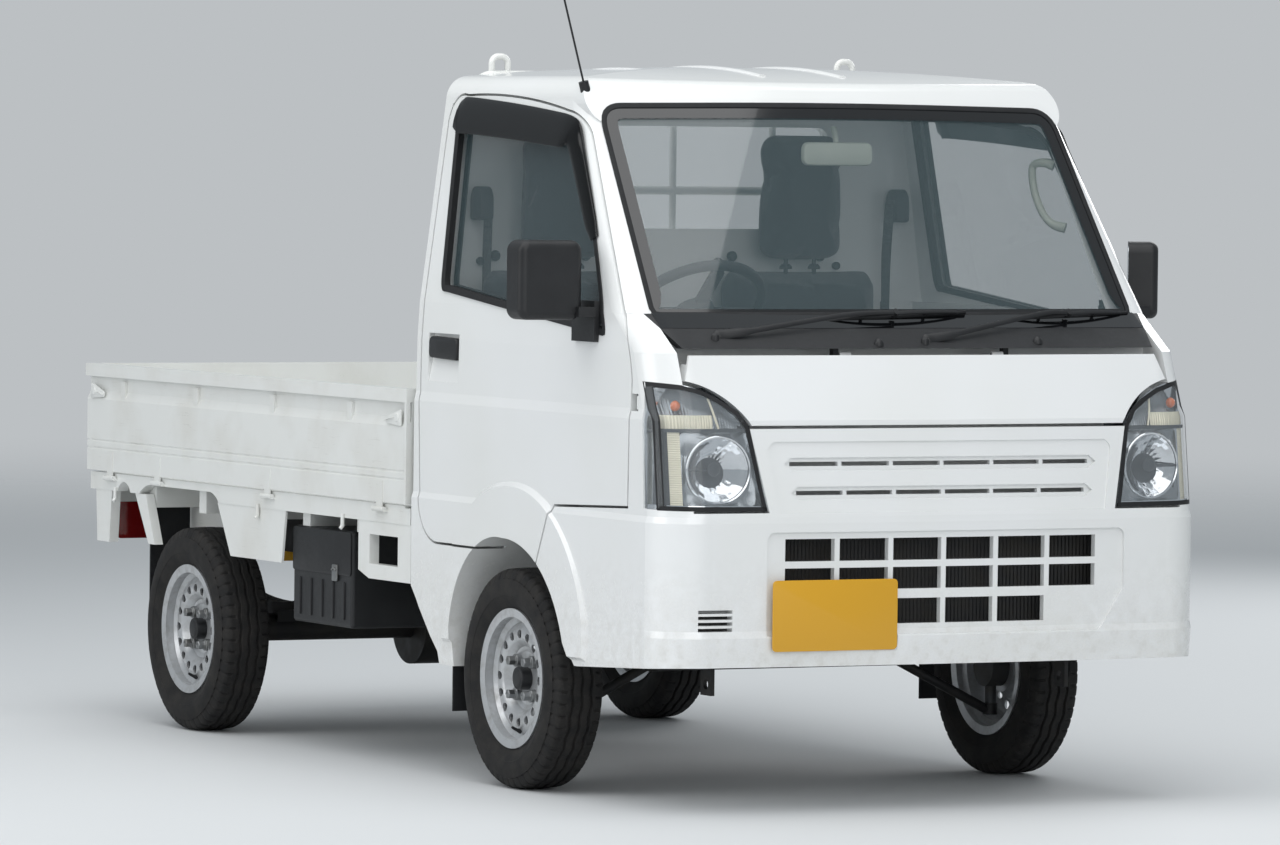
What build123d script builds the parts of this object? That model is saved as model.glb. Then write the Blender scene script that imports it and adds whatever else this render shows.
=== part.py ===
from build123d import *
import math
import os

os.makedirs("parts", exist_ok=True)

# A two-seat light truck with a drop-side bed. Millimetres; the front faces -Y,
# +X is the truck's left side and the ground is z = 0.

# Lengths along the truck, from the nose to the tailgate
cab_length = 1377.5
cab_bed_gap = 20
bed_length = 1997.5
overall_length = cab_length + cab_bed_gap + bed_length
overall_width = 1475
overall_height = 1765
wheelbase = 1905
front_overhang = 855.5
track = 1305

side_x = overall_width / 2
front_y = -overall_length / 2
rear_y = overall_length / 2
cab_back_y = front_y + cab_length
bed_front_y = cab_back_y + cab_bed_gap
front_axle_y = front_y + front_overhang
rear_axle_y = front_axle_y + wheelbase
wheel_x = track / 2

# Cab shell
flare_stand = 8
crease = 5
body_x = side_x - flare_stand
skin = 25
door_thick = 77
inner_x = body_x - door_thick
upper_wall = 35
door_gap = 6
hood_gap = 6
sill_z = 275
floor_z = 480
floor_thick = 25
seat_box_z = 690
bumper_bottom_z = 342
bumper_top_z = 699
grille_top_z = bumper_top_z + 194
hood_top_z = grille_top_z + 173
belt_z = hood_top_z + 88
roof_z = overall_height - 30
pillar_top_z = roof_z - 95
shoulder_z = pillar_top_z + 10
hood_back = 97.5
glass_low_back = 237.5
glass_top_back = 587.5
screen_radius = 8300
roof_radius = 2560
roof_apex_back = 1080
roof_half = body_x - 139.5
roof_edge_x = body_x - 83.5
glass_thick = 6
brow_radius, pillar_radius = 45, 65
firewall_back = 215
firewall_thick = 20
back_wall = 30

# Wheels
tyre_radius = 265
tyre_width = 145
rim_radius = 152
flange_radius = 168
rim_width = 116
axle_z = tyre_radius
kingpin_x = wheel_x - 40.5
hub_bore_radius = 18
running_gap = 0.3

# Front wheel arch, from the axle
arch_top_z = axle_z + 337
arch_rear = 291
arch_front = 323

# Bed
deck_z = 650
deck_thick = 15
deck_x = side_x - 15.5
deck_edge_z = deck_z - 46
gate_bottom_z = deck_z + 5
gate_top_z = gate_bottom_z + 284
gate_thick = 24
gate_x = side_x - 8.5
gate_y = rear_y - 8.5
hinge_radius = 6.5
pin_radius = 3
gate_hinge_x = side_x - hinge_radius
gate_hinge_y = rear_y - hinge_radius
gate_hinge_z = deck_z - 13
rail_deep = 33
bed_panel = 30
board_step = 5
sill_deep = 66
mount_h = deck_z - deck_thick - sill_deep
seat_gap = 0.3

SIDE = Plane(origin=(0, 0, 0), x_dir=(0, 1, 0), z_dir=(1, 0, 0))
FRONT = Plane(origin=(0, 0, 0), x_dir=(1, 0, 0), z_dir=(0, -1, 0))
PLAN = Plane.XY


def nose(back):
    # y of a point that lies this far behind the nose
    return front_y + back


def outline(plane, start, *steps):
    # A step is a point, for a straight line to it, or a pair of points, for an arc
    # through the first to the second. The outline closes itself.
    edges = []
    at = start
    for step in steps:
        if isinstance(step[0], tuple):
            edges.append(ThreePointArc(at, step[0], step[1]))
            at = step[1]
        else:
            edges.append(Line(at, step))
            at = step
    if at != start:
        edges.append(Line(at, start))
    return plane * make_face(edges)


def along_x(face, x0, x1):
    return extrude(Pos(x0, 0, 0) * face, amount=x1 - x0, dir=(1, 0, 0))


def along_y(face, y0, y1):
    return extrude(Pos(0, y0, 0) * face, amount=y1 - y0, dir=(0, 1, 0))


def along_z(face, z0, z1):
    return extrude(Pos(0, 0, z0) * face, amount=z1 - z0, dir=(0, 0, 1))


def block(x0, x1, y0, y1, z0, z1):
    return Pos((x0 + x1) / 2, (y0 + y1) / 2, (z0 + z1) / 2) * Box(x1 - x0, y1 - y0, z1 - z0)


def rod(radius, start, end):
    length = math.dist(start, end)
    way = tuple(b - a for a, b in zip(start, end))
    middle = tuple((a + b) / 2 for a, b in zip(start, end))
    return Plane(origin=middle, z_dir=way) * Cylinder(radius, length)


def both(shape):
    return shape + mirror(shape, Plane.YZ)


def tube_path(radius, corner, *points):
    path = FilletPolyline(*points, radius=corner)
    ring = Plane(origin=path @ 0, z_dir=path % 0) * Circle(radius)
    return sweep(ring, path)


# Cab envelope. The lower body is lofted between plan sections, straight from one to
# the next, so that its creases lie at the grille's and hood's edges.
# columns: height, front set back, half width, bow, corner width, corner depth
body_sections = (
    (sill_z, 60, body_x - 8, 20, 120, 105),
    (bumper_bottom_z, 6, body_x - 1, 20, 120, 105),
    (bumper_bottom_z + 68, 0, body_x, 20, 120, 105),
    (bumper_bottom_z + 84, 5, body_x - 1, 20, 120, 105),
    (bumper_top_z - 24, 3, body_x, 20, 120, 105),
    (bumper_top_z - 9, 4, body_x - crease, 20, 120, 105),
    (grille_top_z + 19, 33.4, body_x - crease, 20, 118, 105),
    (belt_z - 218, 43.4, body_x - 2 * crease, 20, 115, 104),
    (hood_top_z, hood_back, body_x - 2 * crease - 2, 22, 105, 100),
    (belt_z, glass_low_back, body_x - 17.5, 22, 90, 75),
)
belt_x = body_x - 17.5


def lower_body(inset):
    sections = []
    for height, back, half, bow, corner_w, corner_d in body_sections:
        front = nose(back) + inset
        x = half - inset
        arc_x = x - corner_w
        arc_y = front + bow
        end_y = arc_y + corner_d
        rear = cab_back_y - inset
        face = outline(
            PLAN,
            (-arc_x, arc_y),
            ((0, front), (arc_x, arc_y)),
            ((arc_x + 0.70 * corner_w, arc_y + 0.30 * corner_d), (x, end_y)),
            (x, rear),
            (-x, rear),
            (-x, end_y),
            ((-arc_x - 0.70 * corner_w, arc_y + 0.30 * corner_d), (-arc_x, arc_y)),
        )
        sections.append(Pos(0, 0, height) * face)
    return loft(sections, ruled=True)


def roof_height(back):
    return roof_z - roof_radius + math.sqrt(roof_radius**2 - (back - roof_apex_back) ** 2)


glass_rake = (glass_top_back - glass_low_back) / (pillar_top_z - belt_z)
rake_length = math.hypot(1, glass_rake)
screen_way = (0, glass_rake, 1)
screen_axis = (
    0,
    nose(glass_low_back) + screen_radius / rake_length,
    belt_z - screen_radius * glass_rake / rake_length,
)


def upper_body(inset, rounded=True):
    # the greenhouse: a side profile, a front profile with tumblehome and a bowed windscreen
    start = 120
    rear = cab_back_y - inset
    side = outline(
        SIDE,
        (nose(start), belt_z),
        (nose(start), roof_height(start) - inset),
        ((nose(700), roof_height(700) - inset), (rear, roof_height(cab_length) - inset)),
        (rear, belt_z),
    )
    low_x = belt_x - inset
    edge_x = roof_edge_x - inset
    front = outline(
        FRONT,
        (low_x, belt_z),
        (edge_x, shoulder_z),
        ((edge_x - 15, roof_z - 47 - inset * 0.7), (roof_half - inset, roof_z - 27 - inset)),
        ((0, roof_z + 2 - inset), (inset - roof_half, roof_z - 27 - inset)),
        ((15 - edge_x, roof_z - 47 - inset * 0.7), (-edge_x, shoulder_z)),
        (-low_x, belt_z),
    )
    shape = along_x(side, -side_x, side_x) & along_y(front, front_y, rear_y)
    shape &= Plane(origin=screen_axis, z_dir=screen_way) * Cylinder(screen_radius - inset, 6000)
    if not rounded:
        return shape
    # round the brow above the windscreen, then the two front pillars
    ahead = shape.edges().filter_by(lambda e: e.center().Y < nose(glass_top_back + 120))
    brow = ahead.filter_by(lambda e: e.bounding_box().size.X > roof_half and e.center().Z > shoulder_z)
    shape = fillet(brow, max(brow_radius - inset, 8))
    ahead = shape.edges().filter_by(lambda e: e.center().Y < nose(glass_top_back))
    pillars = ahead.filter_by(lambda e: e.bounding_box().size.Z > 0.8 * (shoulder_z - belt_z))
    return fillet(pillars, max(pillar_radius - inset, 8))


body_low = lower_body(0)
body_high = upper_body(0)
cab_envelope = body_low + body_high

# Cabin space: straight sides behind the doors, then up inside the window frames
cabin_front = firewall_back + firewall_thick
cabin_low = outline(
    SIDE,
    (nose(cabin_front), floor_z),
    (nose(cabin_front), belt_z - 34),
    (nose(cabin_front + 38), belt_z + 1),
    (cab_back_y - back_wall, belt_z + 1),
    (cab_back_y - back_wall, seat_box_z),
    (nose(830), seat_box_z),
    (nose(830), floor_z),
)
cabin_space = along_x(cabin_low, -inner_x, inner_x) + upper_body(upper_wall, rounded=False)

# Space inside the nose, open below
nose_cut = block(-inner_x, inner_x, front_y, nose(firewall_back), 0, belt_z)
nose_low_cut = block(-side_x, side_x, front_y, nose(470), 0, bumper_top_z - 8)
nose_space = lower_body(skin) & (nose_cut + nose_low_cut)
nose_space += block(-inner_x, inner_x, nose(60 + skin), nose(firewall_back), 200, 340)
under_cut = block(-inner_x, inner_x, nose(firewall_back), rear_y, 0, floor_z - floor_thick)
bumper_cut = along_x(
    outline(
        SIDE,
        (front_y - 10, 200),
        (front_y - 10, bumper_bottom_z),
        (nose(40), bumper_bottom_z),
        (nose(474), 320),
        (nose(560), 320),
        (nose(560), 200),
    ),
    -side_x,
    side_x,
)
tail_cut = along_x(
    outline(
        SIDE,
        (cab_back_y + 10, 459),
        (cab_back_y, 459),
        (cab_back_y - 145, 306),
        (cab_back_y - 164, 200),
        (cab_back_y + 10, 200),
    ),
    -side_x,
    side_x,
)

# Front wheel arch in side view
arch_face = outline(
    SIDE,
    (front_axle_y + arch_rear, 0),
    (front_axle_y + arch_rear, 372),
    ((front_axle_y + 200, 540), (front_axle_y + 5, arch_top_z)),
    ((front_axle_y - 178, 552), (front_axle_y - arch_front, 372)),
    (front_axle_y - arch_front - 58, 300),
    (front_axle_y - arch_front - 58, 0),
)
arch_inner_x = 412
arch_space = both(along_x(arch_face, arch_inner_x, side_x + 10))

floor_cut = block(-inner_x, inner_x, nose(firewall_back), cab_back_y - back_wall - 10, 0, seat_box_z)
wall_cut = block(-inner_x, inner_x, nose(firewall_back) - 1, nose(cabin_front), 0, belt_z - 45)
cab_shell = cab_envelope - cabin_space - nose_space - under_cut - floor_cut - wall_cut
cab_shell = cab_shell - bumper_cut - tail_cut - arch_space

# Flare round the arch, standing out from the doors and the bumper
flare_face = outline(
    SIDE,
    (front_axle_y + 345, 330),
    (front_axle_y + 340, 430),
    ((front_axle_y + 235, 640), (front_axle_y + 8, 737)),
    ((front_axle_y - 260, 672), (front_axle_y - 434, 423)),
    (front_axle_y - 434, 330),
)
flare_root = body_x - crease - 1
flare = extrude(Pos(flare_root, 0, 0) * flare_face, amount=side_x - flare_root, dir=(1, 0, 0), taper=40)
flare = both(flare) - arch_space


# Door outline in side view, from the nose
def door_face(grow):
    face = outline(
        SIDE,
        (nose(227.5), 706),
        (nose(223.5), 1000),
        ((nose(250), 1085), (nose(300.5), belt_z)),
        (nose(584.5), pillar_top_z - 80),
        ((nose(625), pillar_top_z - 40), (nose(697.5), pillar_top_z - 16)),
        ((nose(960), pillar_top_z + 15), (cab_back_y - 120, pillar_top_z + 20)),
        ((cab_back_y - 52, pillar_top_z + 2), (cab_back_y - 30, pillar_top_z - 50)),
        (cab_back_y - 24, 970),
        (cab_back_y - 37, 680),
        ((cab_back_y - 68, 603), (cab_back_y - 141, 570)),
        (front_axle_y + 128, 570),
        (front_axle_y + 60, 480),
        (front_axle_y - 150, 480),
        (front_axle_y - 178, 548),
        (front_axle_y - 248, 692),
    )
    return offset(face, amount=grow, kind=Kind.INTERSECTION)


def door_prism(grow):
    # as deep as the door below the belt, and as the window frame above it
    face = door_face(grow)
    frame_x = roof_edge_x - upper_wall - 5
    upper = along_x(face, frame_x, side_x + 1) & block(0, side_x + 1, front_y, rear_y, belt_z, roof_z)
    return both(along_x(face, inner_x, side_x + 1) + upper)


door_zone = door_prism(-door_gap / 2)
door_hole = door_prism(door_gap / 2)

# Side window, cut through the door's upper frame
window_face = outline(
    SIDE,
    (cab_back_y - 147.5, belt_z + 32),
    (nose(371.5), belt_z - 52),
    (nose(397.5), belt_z + 30),
    (nose(473.5), belt_z + 172),
    (nose(600), pillar_top_z - 120),
    ((nose(655), pillar_top_z - 58), (nose(735), pillar_top_z - 42)),
    (cab_back_y - 115.5, pillar_top_z - 6),
    ((cab_back_y - 87.5, pillar_top_z - 15), (cab_back_y - 85.5, pillar_top_z - 40)),
    (cab_back_y - 115.5, belt_z + 56),
    ((cab_back_y - 124.5, belt_z + 37), (cab_back_y - 147.5, belt_z + 32)),
)
window_cut = both(along_x(window_face, 500, side_x + 1))

# Front-view outlines of the nose panels
lamp_low_x, lamp_in_x, lamp_out_x = body_x - 265.5, body_x - 225.5, body_x - 80.5


def lamp_face(grow):
    face = outline(
        FRONT,
        (lamp_low_x, bumper_top_z + 5),
        (lamp_in_x, grille_top_z + 4),
        ((body_x - 157.5, grille_top_z + 69), (lamp_out_x, grille_top_z + 100)),
        (side_x + 20, grille_top_z + 108),
        (side_x + 20, bumper_top_z + 8),
    )
    return offset(face, amount=grow, kind=Kind.INTERSECTION)


def lamp_zone(grow):
    depth = outline(
        SIDE,
        (front_y - 20, 600),
        (front_y - 20, 1100),
        (nose(172 + grow), 1100),
        (nose(140 + grow), 600),
    )
    zone = along_y(lamp_face(grow), front_y - 20, nose(300)) & along_x(depth, 400, side_x + 10)
    return both(zone)


def hood_face(grow):
    half = [
        (lamp_in_x - 5, grille_top_z + 4.5),
        ((body_x - 163.5, grille_top_z + 74), (lamp_out_x, grille_top_z + 107)),
        (body_x - 101.5, hood_top_z - 2),
    ]
    (x0, z0), ((x1, z1), (x2, z2)), (x3, z3) = half
    face = outline(
        FRONT,
        (x0, z0),
        ((x1, z1), (x2, z2)),
        (x3, z3),
        (-x3, z3),
        (-x2, z2),
        ((-x1, z1), (-x0, z0)),
    )
    return offset(face, amount=grow, kind=Kind.INTERSECTION)


nose_depth = nose(firewall_back)
lamps_cut = lamp_zone(0)
hood_zone = along_y(hood_face(-hood_gap / 2), front_y - 20, nose_depth)
hood_hole = along_y(hood_face(hood_gap / 2), front_y - 20, nose_depth)

grille_face = outline(
    FRONT,
    (lamp_low_x - 1, bumper_top_z),
    (lamp_in_x - 1, grille_top_z),
    (1 - lamp_in_x, grille_top_z),
    (1 - lamp_low_x, bumper_top_z),
)
grille_zone = along_y(grille_face, front_y - 20, nose_depth)

cowl_face = outline(
    FRONT,
    (body_x - 97.5, hood_top_z + 10),
    (body_x - 61.5, belt_z),
    (61.5 - body_x, belt_z),
    (97.5 - body_x, hood_top_z + 10),
)
cowl_zone = along_y(cowl_face, front_y, nose(290))

# The bumper wraps to the arch; its top runs back under the lamps to the flare
bumper_side = outline(
    SIDE,
    (front_y - 20, 200),
    (front_y - 20, bumper_top_z),
    (nose(140), bumper_top_z),
    (nose(228), 702),
    (front_axle_y - 252, 690),
    (front_axle_y - 180, 546),
    (front_axle_y - 150, 470),
    (front_axle_y - 150, 200),
)
bumper_zone = along_x(bumper_side, -side_x, side_x)

# Windscreen opening
screen_x = body_x - 89.5
screen_face = outline(
    FRONT,
    (screen_x, belt_z),
    (screen_x - 32, pillar_top_z - 42),
    ((screen_x - 40, pillar_top_z - 14), (screen_x - 70, pillar_top_z - 6)),
    ((0, pillar_top_z + 1), (70 - screen_x, pillar_top_z - 6)),
    ((40 - screen_x, pillar_top_z - 14), (32 - screen_x, pillar_top_z - 42)),
    (-screen_x, belt_z),
)
screen_cut = along_y(screen_face, front_y, nose(800))
roof_cut = block(-side_x, side_x, front_y, cab_back_y, pillar_top_z, overall_height)
back_cut = block(-inner_x, inner_x, cab_back_y - back_wall - 10, cab_back_y, 0, pillar_top_z)

rear_half, rear_low_z, rear_top_z = roof_half - 190, belt_z + 182, pillar_top_z - 50
rear_glass_face = outline(
    FRONT,
    (rear_half, rear_low_z + 30),
    (rear_half, rear_top_z - 30),
    ((rear_half - 8, rear_top_z - 8), (rear_half - 30, rear_top_z)),
    (30 - rear_half, rear_top_z),
    ((8 - rear_half, rear_top_z - 8), (-rear_half, rear_top_z - 30)),
    (-rear_half, rear_low_z + 30),
    ((8 - rear_half, rear_low_z + 8), (30 - rear_half, rear_low_z)),
    (rear_half - 30, rear_low_z),
    ((rear_half - 8, rear_low_z + 8), (rear_half, rear_low_z + 30)),
)
rear_glass_cut = along_y(rear_glass_face, cab_back_y - 60, cab_back_y + 5)

# Panels
shell_flared = cab_shell + flare
doors = (shell_flared & door_zone) - window_cut
front_bumper = (shell_flared & bumper_zone) - door_hole
body_rest = shell_flared - door_hole - bumper_zone
grille_panel = body_rest & grille_zone
hood = body_rest & hood_zone
cowl_panel = (body_rest & cowl_zone) - hood_hole
roof = body_rest & roof_cut
roof -= screen_cut
# lengthwise beads pressed up from the roof
bead_stand, bead_radius = 4, 14
for x in (-330, -110, 110, 330):
    drop = 29 * (x / roof_half) ** 2
    ring = Pos(x, nose(roof_apex_back), roof_z - roof_radius - drop) * Rotation(0, 90, 0)
    ring *= Torus(roof_radius + 2 + bead_stand - bead_radius, bead_radius)
    roof += ring & block(x - 20, x + 20, nose(740), nose(1320), roof_z - 60, overall_height)
back_panel = (body_rest & back_cut) - rear_glass_cut
sides = body_rest - grille_zone - hood_hole - cowl_zone - roof_cut - back_cut - lamps_cut
sides = sides - screen_cut - block(-inner_x, inner_x, front_y, cab_back_y, 0, belt_z)

# Hood hinges: the lid thins to a flange at its top edge; gooseneck arms carry barrels
# that turn on pins held by the cowl's brackets
hood_hinge_y, hood_hinge_z = nose(hood_back + 42.5), hood_top_z - 6
hood_pin, hood_barrel, hood_flange = 4, 8, 6
hood -= lower_body(hood_flange) & block(-side_x, side_x, front_y, nose_depth, hood_top_z - 26, hood_top_z + 2)
for side in (-1, 1):
    x0, x1, x2 = side * 190, side * 220, side * 236
    arm_x0, arm_x1 = sorted((x0, x1))
    hood += rod(hood_barrel, (x0, hood_hinge_y, hood_hinge_z), (x1, hood_hinge_y, hood_hinge_z))
    hood += block(arm_x0, arm_x1, hood_hinge_y - hood_barrel, hood_hinge_y + hood_barrel, hood_hinge_z - 55, hood_hinge_z)
    hood += block(arm_x0, arm_x1, nose(hood_back), hood_hinge_y, hood_hinge_z - 55, hood_hinge_z - 43)
    hood -= rod(hood_pin + running_gap, (x0 - side * 5, hood_hinge_y, hood_hinge_z), (x2, hood_hinge_y, hood_hinge_z))
    cowl_panel += rod(hood_pin, (x0, hood_hinge_y, hood_hinge_z), (x2, hood_hinge_y, hood_hinge_z))
    ear_x0, ear_x1 = sorted((x1 + side * 2, x2))
    cowl_panel += block(ear_x0, ear_x1, hood_hinge_y - 3, hood_hinge_y + 15, hood_hinge_z - 8, hood_top_z + 22)

# Door hinges: pins in pockets of the corner posts, gooseneck arms on the doors
door_hinge_x, door_hinge_y = body_x - 16, nose(195)
door_pin, door_barrel = 3, 5.5
arm_in, arm_thick = 30, 3
for z in (hood_top_z - 306, hood_top_z - 116):
    sides -= both(block(door_hinge_x - arm_in - 9, body_x - crease - 3, door_hinge_y - 9, nose(236), z - 20, z + 20))
    sides += both(rod(door_pin, (door_hinge_x, door_hinge_y, z - 24), (door_hinge_x, door_hinge_y, z + 24)))
    arm = rod(door_barrel, (door_hinge_x, door_hinge_y, z - 15), (door_hinge_x, door_hinge_y, z + 15))
    arm += block(door_hinge_x - arm_in, door_hinge_x, door_hinge_y - arm_thick, door_hinge_y + arm_thick, z - 15, z + 15)
    arm += block(door_hinge_x - arm_in, door_hinge_x - arm_in + 2 * arm_thick, door_hinge_y - arm_thick, nose(245), z - 15, z + 15)
    doors += both(arm - rod(door_pin + running_gap, (door_hinge_x, door_hinge_y, z - 24), (door_hinge_x, door_hinge_y, z + 24)))

# Pull recess behind each door handle
handle_y, handle_w, handle_z0, handle_z1 = cab_back_y - 150, 168, 962, 1080
pull = outline(
    FRONT,
    (side_x, handle_z0),
    (side_x, handle_z1),
    (body_x - 27, handle_z1),
    (body_x - 27, handle_z1 - 40),
    (body_x - 12, handle_z0),
)
doors -= both(along_y(pull, handle_y - handle_w / 2, handle_y + handle_w / 2))

# Lamps: a bucket behind a clear cover
cover_thick = 4
lamp_front = body_low & lamp_zone(-1.5)
lamp_covers = lamp_front - lower_body(cover_thick)
bucket = (lower_body(cover_thick) & lamp_zone(-seat_gap)) - lower_body(80)
headlamps = bucket - ((lower_body(cover_thick) & lamp_zone(-11)) - lower_body(70))

# Glass
windscreen = (body_high - upper_body(glass_thick, rounded=False)) & screen_cut
windscreen &= block(-side_x, side_x, front_y, nose(800), belt_z, shoulder_z)
rear_glass_edge = along_y(offset(rear_glass_face, amount=-0.2, kind=Kind.INTERSECTION), cab_back_y - 60, cab_back_y + 5)
rear_glass = rear_glass_edge & block(-700, 700, cab_back_y - 18, cab_back_y - 13, 1000, 1700)
cab_glass = windscreen + rear_glass

side_lean = (belt_x - roof_edge_x) / (shoulder_z - belt_z)
glass_way = (math.cos(math.atan(side_lean)), 0, math.sin(math.atan(side_lean)))
glass_plane = Plane(origin=(belt_x, nose(850), belt_z), x_dir=(0, 1, 0), z_dir=glass_way)
slab = glass_plane * Pos(0, 0, -17.5) * Box(1400, 1400, 5)
door_glass = along_x(window_face, 500, side_x + 1) & slab

# Floor, seat box, firewall and wheel boxes inside the cab
floor_zone = outline(
    SIDE,
    (nose(firewall_back), floor_z - floor_thick),
    (nose(firewall_back), belt_z - 45),
    (nose(cabin_front), belt_z - 45),
    (nose(cabin_front), floor_z),
    (nose(830 - floor_thick), floor_z),
    (nose(830 - floor_thick), seat_box_z),
    (cab_back_y - back_wall - 10, seat_box_z),
    (cab_back_y - back_wall - 10, seat_box_z - floor_thick),
    (nose(830), seat_box_z - floor_thick),
    (nose(830), floor_z - floor_thick),
)
floor = along_x(floor_zone, -inner_x, inner_x)
box_wall = 6
arch_outer = offset(arch_face, amount=box_wall, kind=Kind.INTERSECTION)
wheel_box = along_x(arch_outer, arch_inner_x - box_wall, inner_x) - arch_space
wheel_box &= block(0, inner_x, front_y, rear_y, 320, 700)
cab_floor = (floor - arch_space) + both(wheel_box) - cowl_panel


# each side is a front post and a rear post, joined by the roof and the floor
posts = sides.solids().sort_by(SortBy.VOLUME)[-4:]
sides = posts[0] + posts[1] + posts[2] + posts[3]

nodes = {
    "cab_sides": sides,
    "cab_roof": roof,
    "cab_back": back_panel,
    "cab_floor": cab_floor,
    "cab_glass": cab_glass,
    "cowl_panel": cowl_panel,
    "hood": hood,
    "grille_panel": grille_panel,
    "headlamps": headlamps,
    "headlamp_covers": lamp_covers,
}

right_half = block(-2 * side_x, 0, front_y, rear_y, 0, overall_height)
left_half = block(0, 2 * side_x, front_y, rear_y, 0, overall_height)

# Grille: a shallow frame with two channels that hold the slots. A press zone takes
# the material away down to an inset copy of the body.
def pressed(panel, face, depth):
    return panel - (along_y(face, front_y - 20, nose_depth) - lower_body(depth))


grille_frame = outline(
    FRONT,
    (435, bumper_top_z - 8),
    (459, grille_top_z - 55),
    ((452, grille_top_z - 36), (434, grille_top_z - 30)),
    (-434, grille_top_z - 30),
    ((-452, grille_top_z - 36), (-459, grille_top_z - 55)),
    (-435, bumper_top_z - 8),
)
grille_panel = pressed(grille_panel, grille_frame, 4)
# columns: height of the channel's middle, half width of the channel
for middle, half in ((grille_top_z - 82, 418), (grille_top_z - 149, 404)):
    channel = outline(
        FRONT,
        (half, middle),
        (half - 18, middle + 15),
        (18 - half, middle + 15),
        (-half, middle),
        (18 - half, middle - 15),
        (half - 18, middle - 15),
    )
    grille_panel = pressed(grille_panel, channel, 13)
    slot_pitch = 2 * (half - 13) / 6
    for slot in range(6):
        x = 13 - half + slot * slot_pitch
        grille_panel -= block(x + 5, x + slot_pitch - 5, front_y - 5, nose(80), middle - 5, middle + 5)
nodes["grille_panel"] = grille_panel

# Plate seat and air opening in the bumper
opening_frame = outline(
    FRONT,
    (-469, 414),
    (-469, 636),
    ((-463, 648), (-450, 654)),
    (470, 654),
    ((484, 648), (490, 636)),
    (490, 512),
    (432, 424),
    (420, 414),
)
front_bumper = pressed(front_bumper, opening_frame, 8)
for slot in range(4):
    z = 426 + 14 * slot
    front_bumper -= block(-641, -555, front_y - 5, nose(90), z, z + 8)
plate_x, plate_z, plate_w, plate_h = -296, 461, 334, 169
plate_seat = block(
    plate_x - plate_w / 2, plate_x + plate_w / 2, front_y - 5, nose(5), plate_z - plate_h / 2, plate_z + plate_h / 2
)
# columns: low z, high z, first column, last column of the six
grid_rows = ((586, 638, 0, 5), (519, 570, 0, 5), (438, 497, 2, 4))
grid_left, grid_right, grid_bar = -419, 412, 13
grid_pitch = (grid_right - grid_left + grid_bar) / 6
for low, high, first, last in grid_rows:
    for column in range(first, last + 1):
        x = grid_left + column * grid_pitch
        front_bumper -= block(x, x + grid_pitch - grid_bar, front_y - 5, nose(80), low, high)
nodes["front_bumper"] = front_bumper - plate_seat

# Doors with their glass, mirrors and rain visors
mirror_x, mirror_y, mirror_z = side_x + 94.5, nose(452.5), belt_z + 74
mirror_w, mirror_d, mirror_h = 165, 72, 186
mirror_head = Pos(mirror_x, mirror_y, mirror_z) * Box(mirror_w, mirror_d, mirror_h)
mirror_head = fillet(mirror_head.edges().filter_by(Axis.Y), 26)
mirror_head = fillet(mirror_head.faces().sort_by(Axis.Y)[0].edges(), 18)
mirror_arm = block(belt_x - 12, mirror_x - mirror_w / 2 + 20, mirror_y - 52, mirror_y + 6, belt_z - 12, belt_z + 12)
mirror_foot = block(belt_x - 22, belt_x + 16, nose(402), nose(520), belt_z - 70, belt_z + 26)
mirror_set = (mirror_head + mirror_arm + mirror_foot) - (body_high + body_low)
# the left mirror is turned back towards its door and reaches as far out as the right one
fold_angle, fold_back = 60, 95
turned = Rotation(0, 0, fold_angle) * Pos(-mirror_x, -mirror_y, -mirror_z) * mirror_head
turned_x = mirror_x + mirror_w / 2 - turned.bounding_box().max.X
turned_head = Pos(turned_x, mirror_y + fold_back, mirror_z) * turned
turned_arm = block(belt_x - 12, turned_x - 30, nose(460), nose(526), belt_z - 12, belt_z + 12)
mirror_turned = (turned_head + turned_arm + mirror_foot) - (body_high + body_low)
nodes["door_right"] = doors & right_half
nodes["door_left"] = doors & left_half
nodes["door_glass_left"] = door_glass
nodes["door_glass_right"] = mirror(door_glass, Plane.YZ)
nodes["door_mirror_left"] = mirror_turned
nodes["door_mirror_right"] = mirror(mirror_set, Plane.YZ)

# Dashboard with the steering column
wheel_centre = (-315, nose(697), 1150)
wheel_tilt = math.radians(40)
column_way = (0, math.sin(wheel_tilt), math.cos(wheel_tilt))


def on_column(distance):
    return tuple(c + distance * w for c, w in zip(wheel_centre, column_way))


dash_face = outline(
    SIDE,
    (nose(cabin_front), 760),
    (nose(430), 760),
    (nose(505), 870),
    ((nose(530), 960), (nose(505), 1060)),
    ((nose(480), 1108), (nose(420), 1116)),
    (nose(cabin_front), 1112),
)
dash_x = inner_x - 8
column = rod(24, on_column(-60), on_column(-420)) + rod(9, on_column(-15), on_column(-60))
nodes["dashboard"] = along_x(dash_face, -dash_x, dash_x) + column
rim_ring = Torus(172, 13)
hub_pad = Pos(0, 0, -18) * Cylinder(52, 34)
spoke_bar = Box(340, 34, 14) + Pos(0, -80, 0) * Box(30, 165, 14)
steering_wheel = rim_ring + (Pos(0, 0, -10) * spoke_bar) + hub_pad - Pos(0, 0, -30) * Cylinder(9 + running_gap, 40)
nodes["steering_wheel"] = Plane(origin=wheel_centre, x_dir=(1, 0, 0), z_dir=column_way) * steering_wheel

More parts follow.
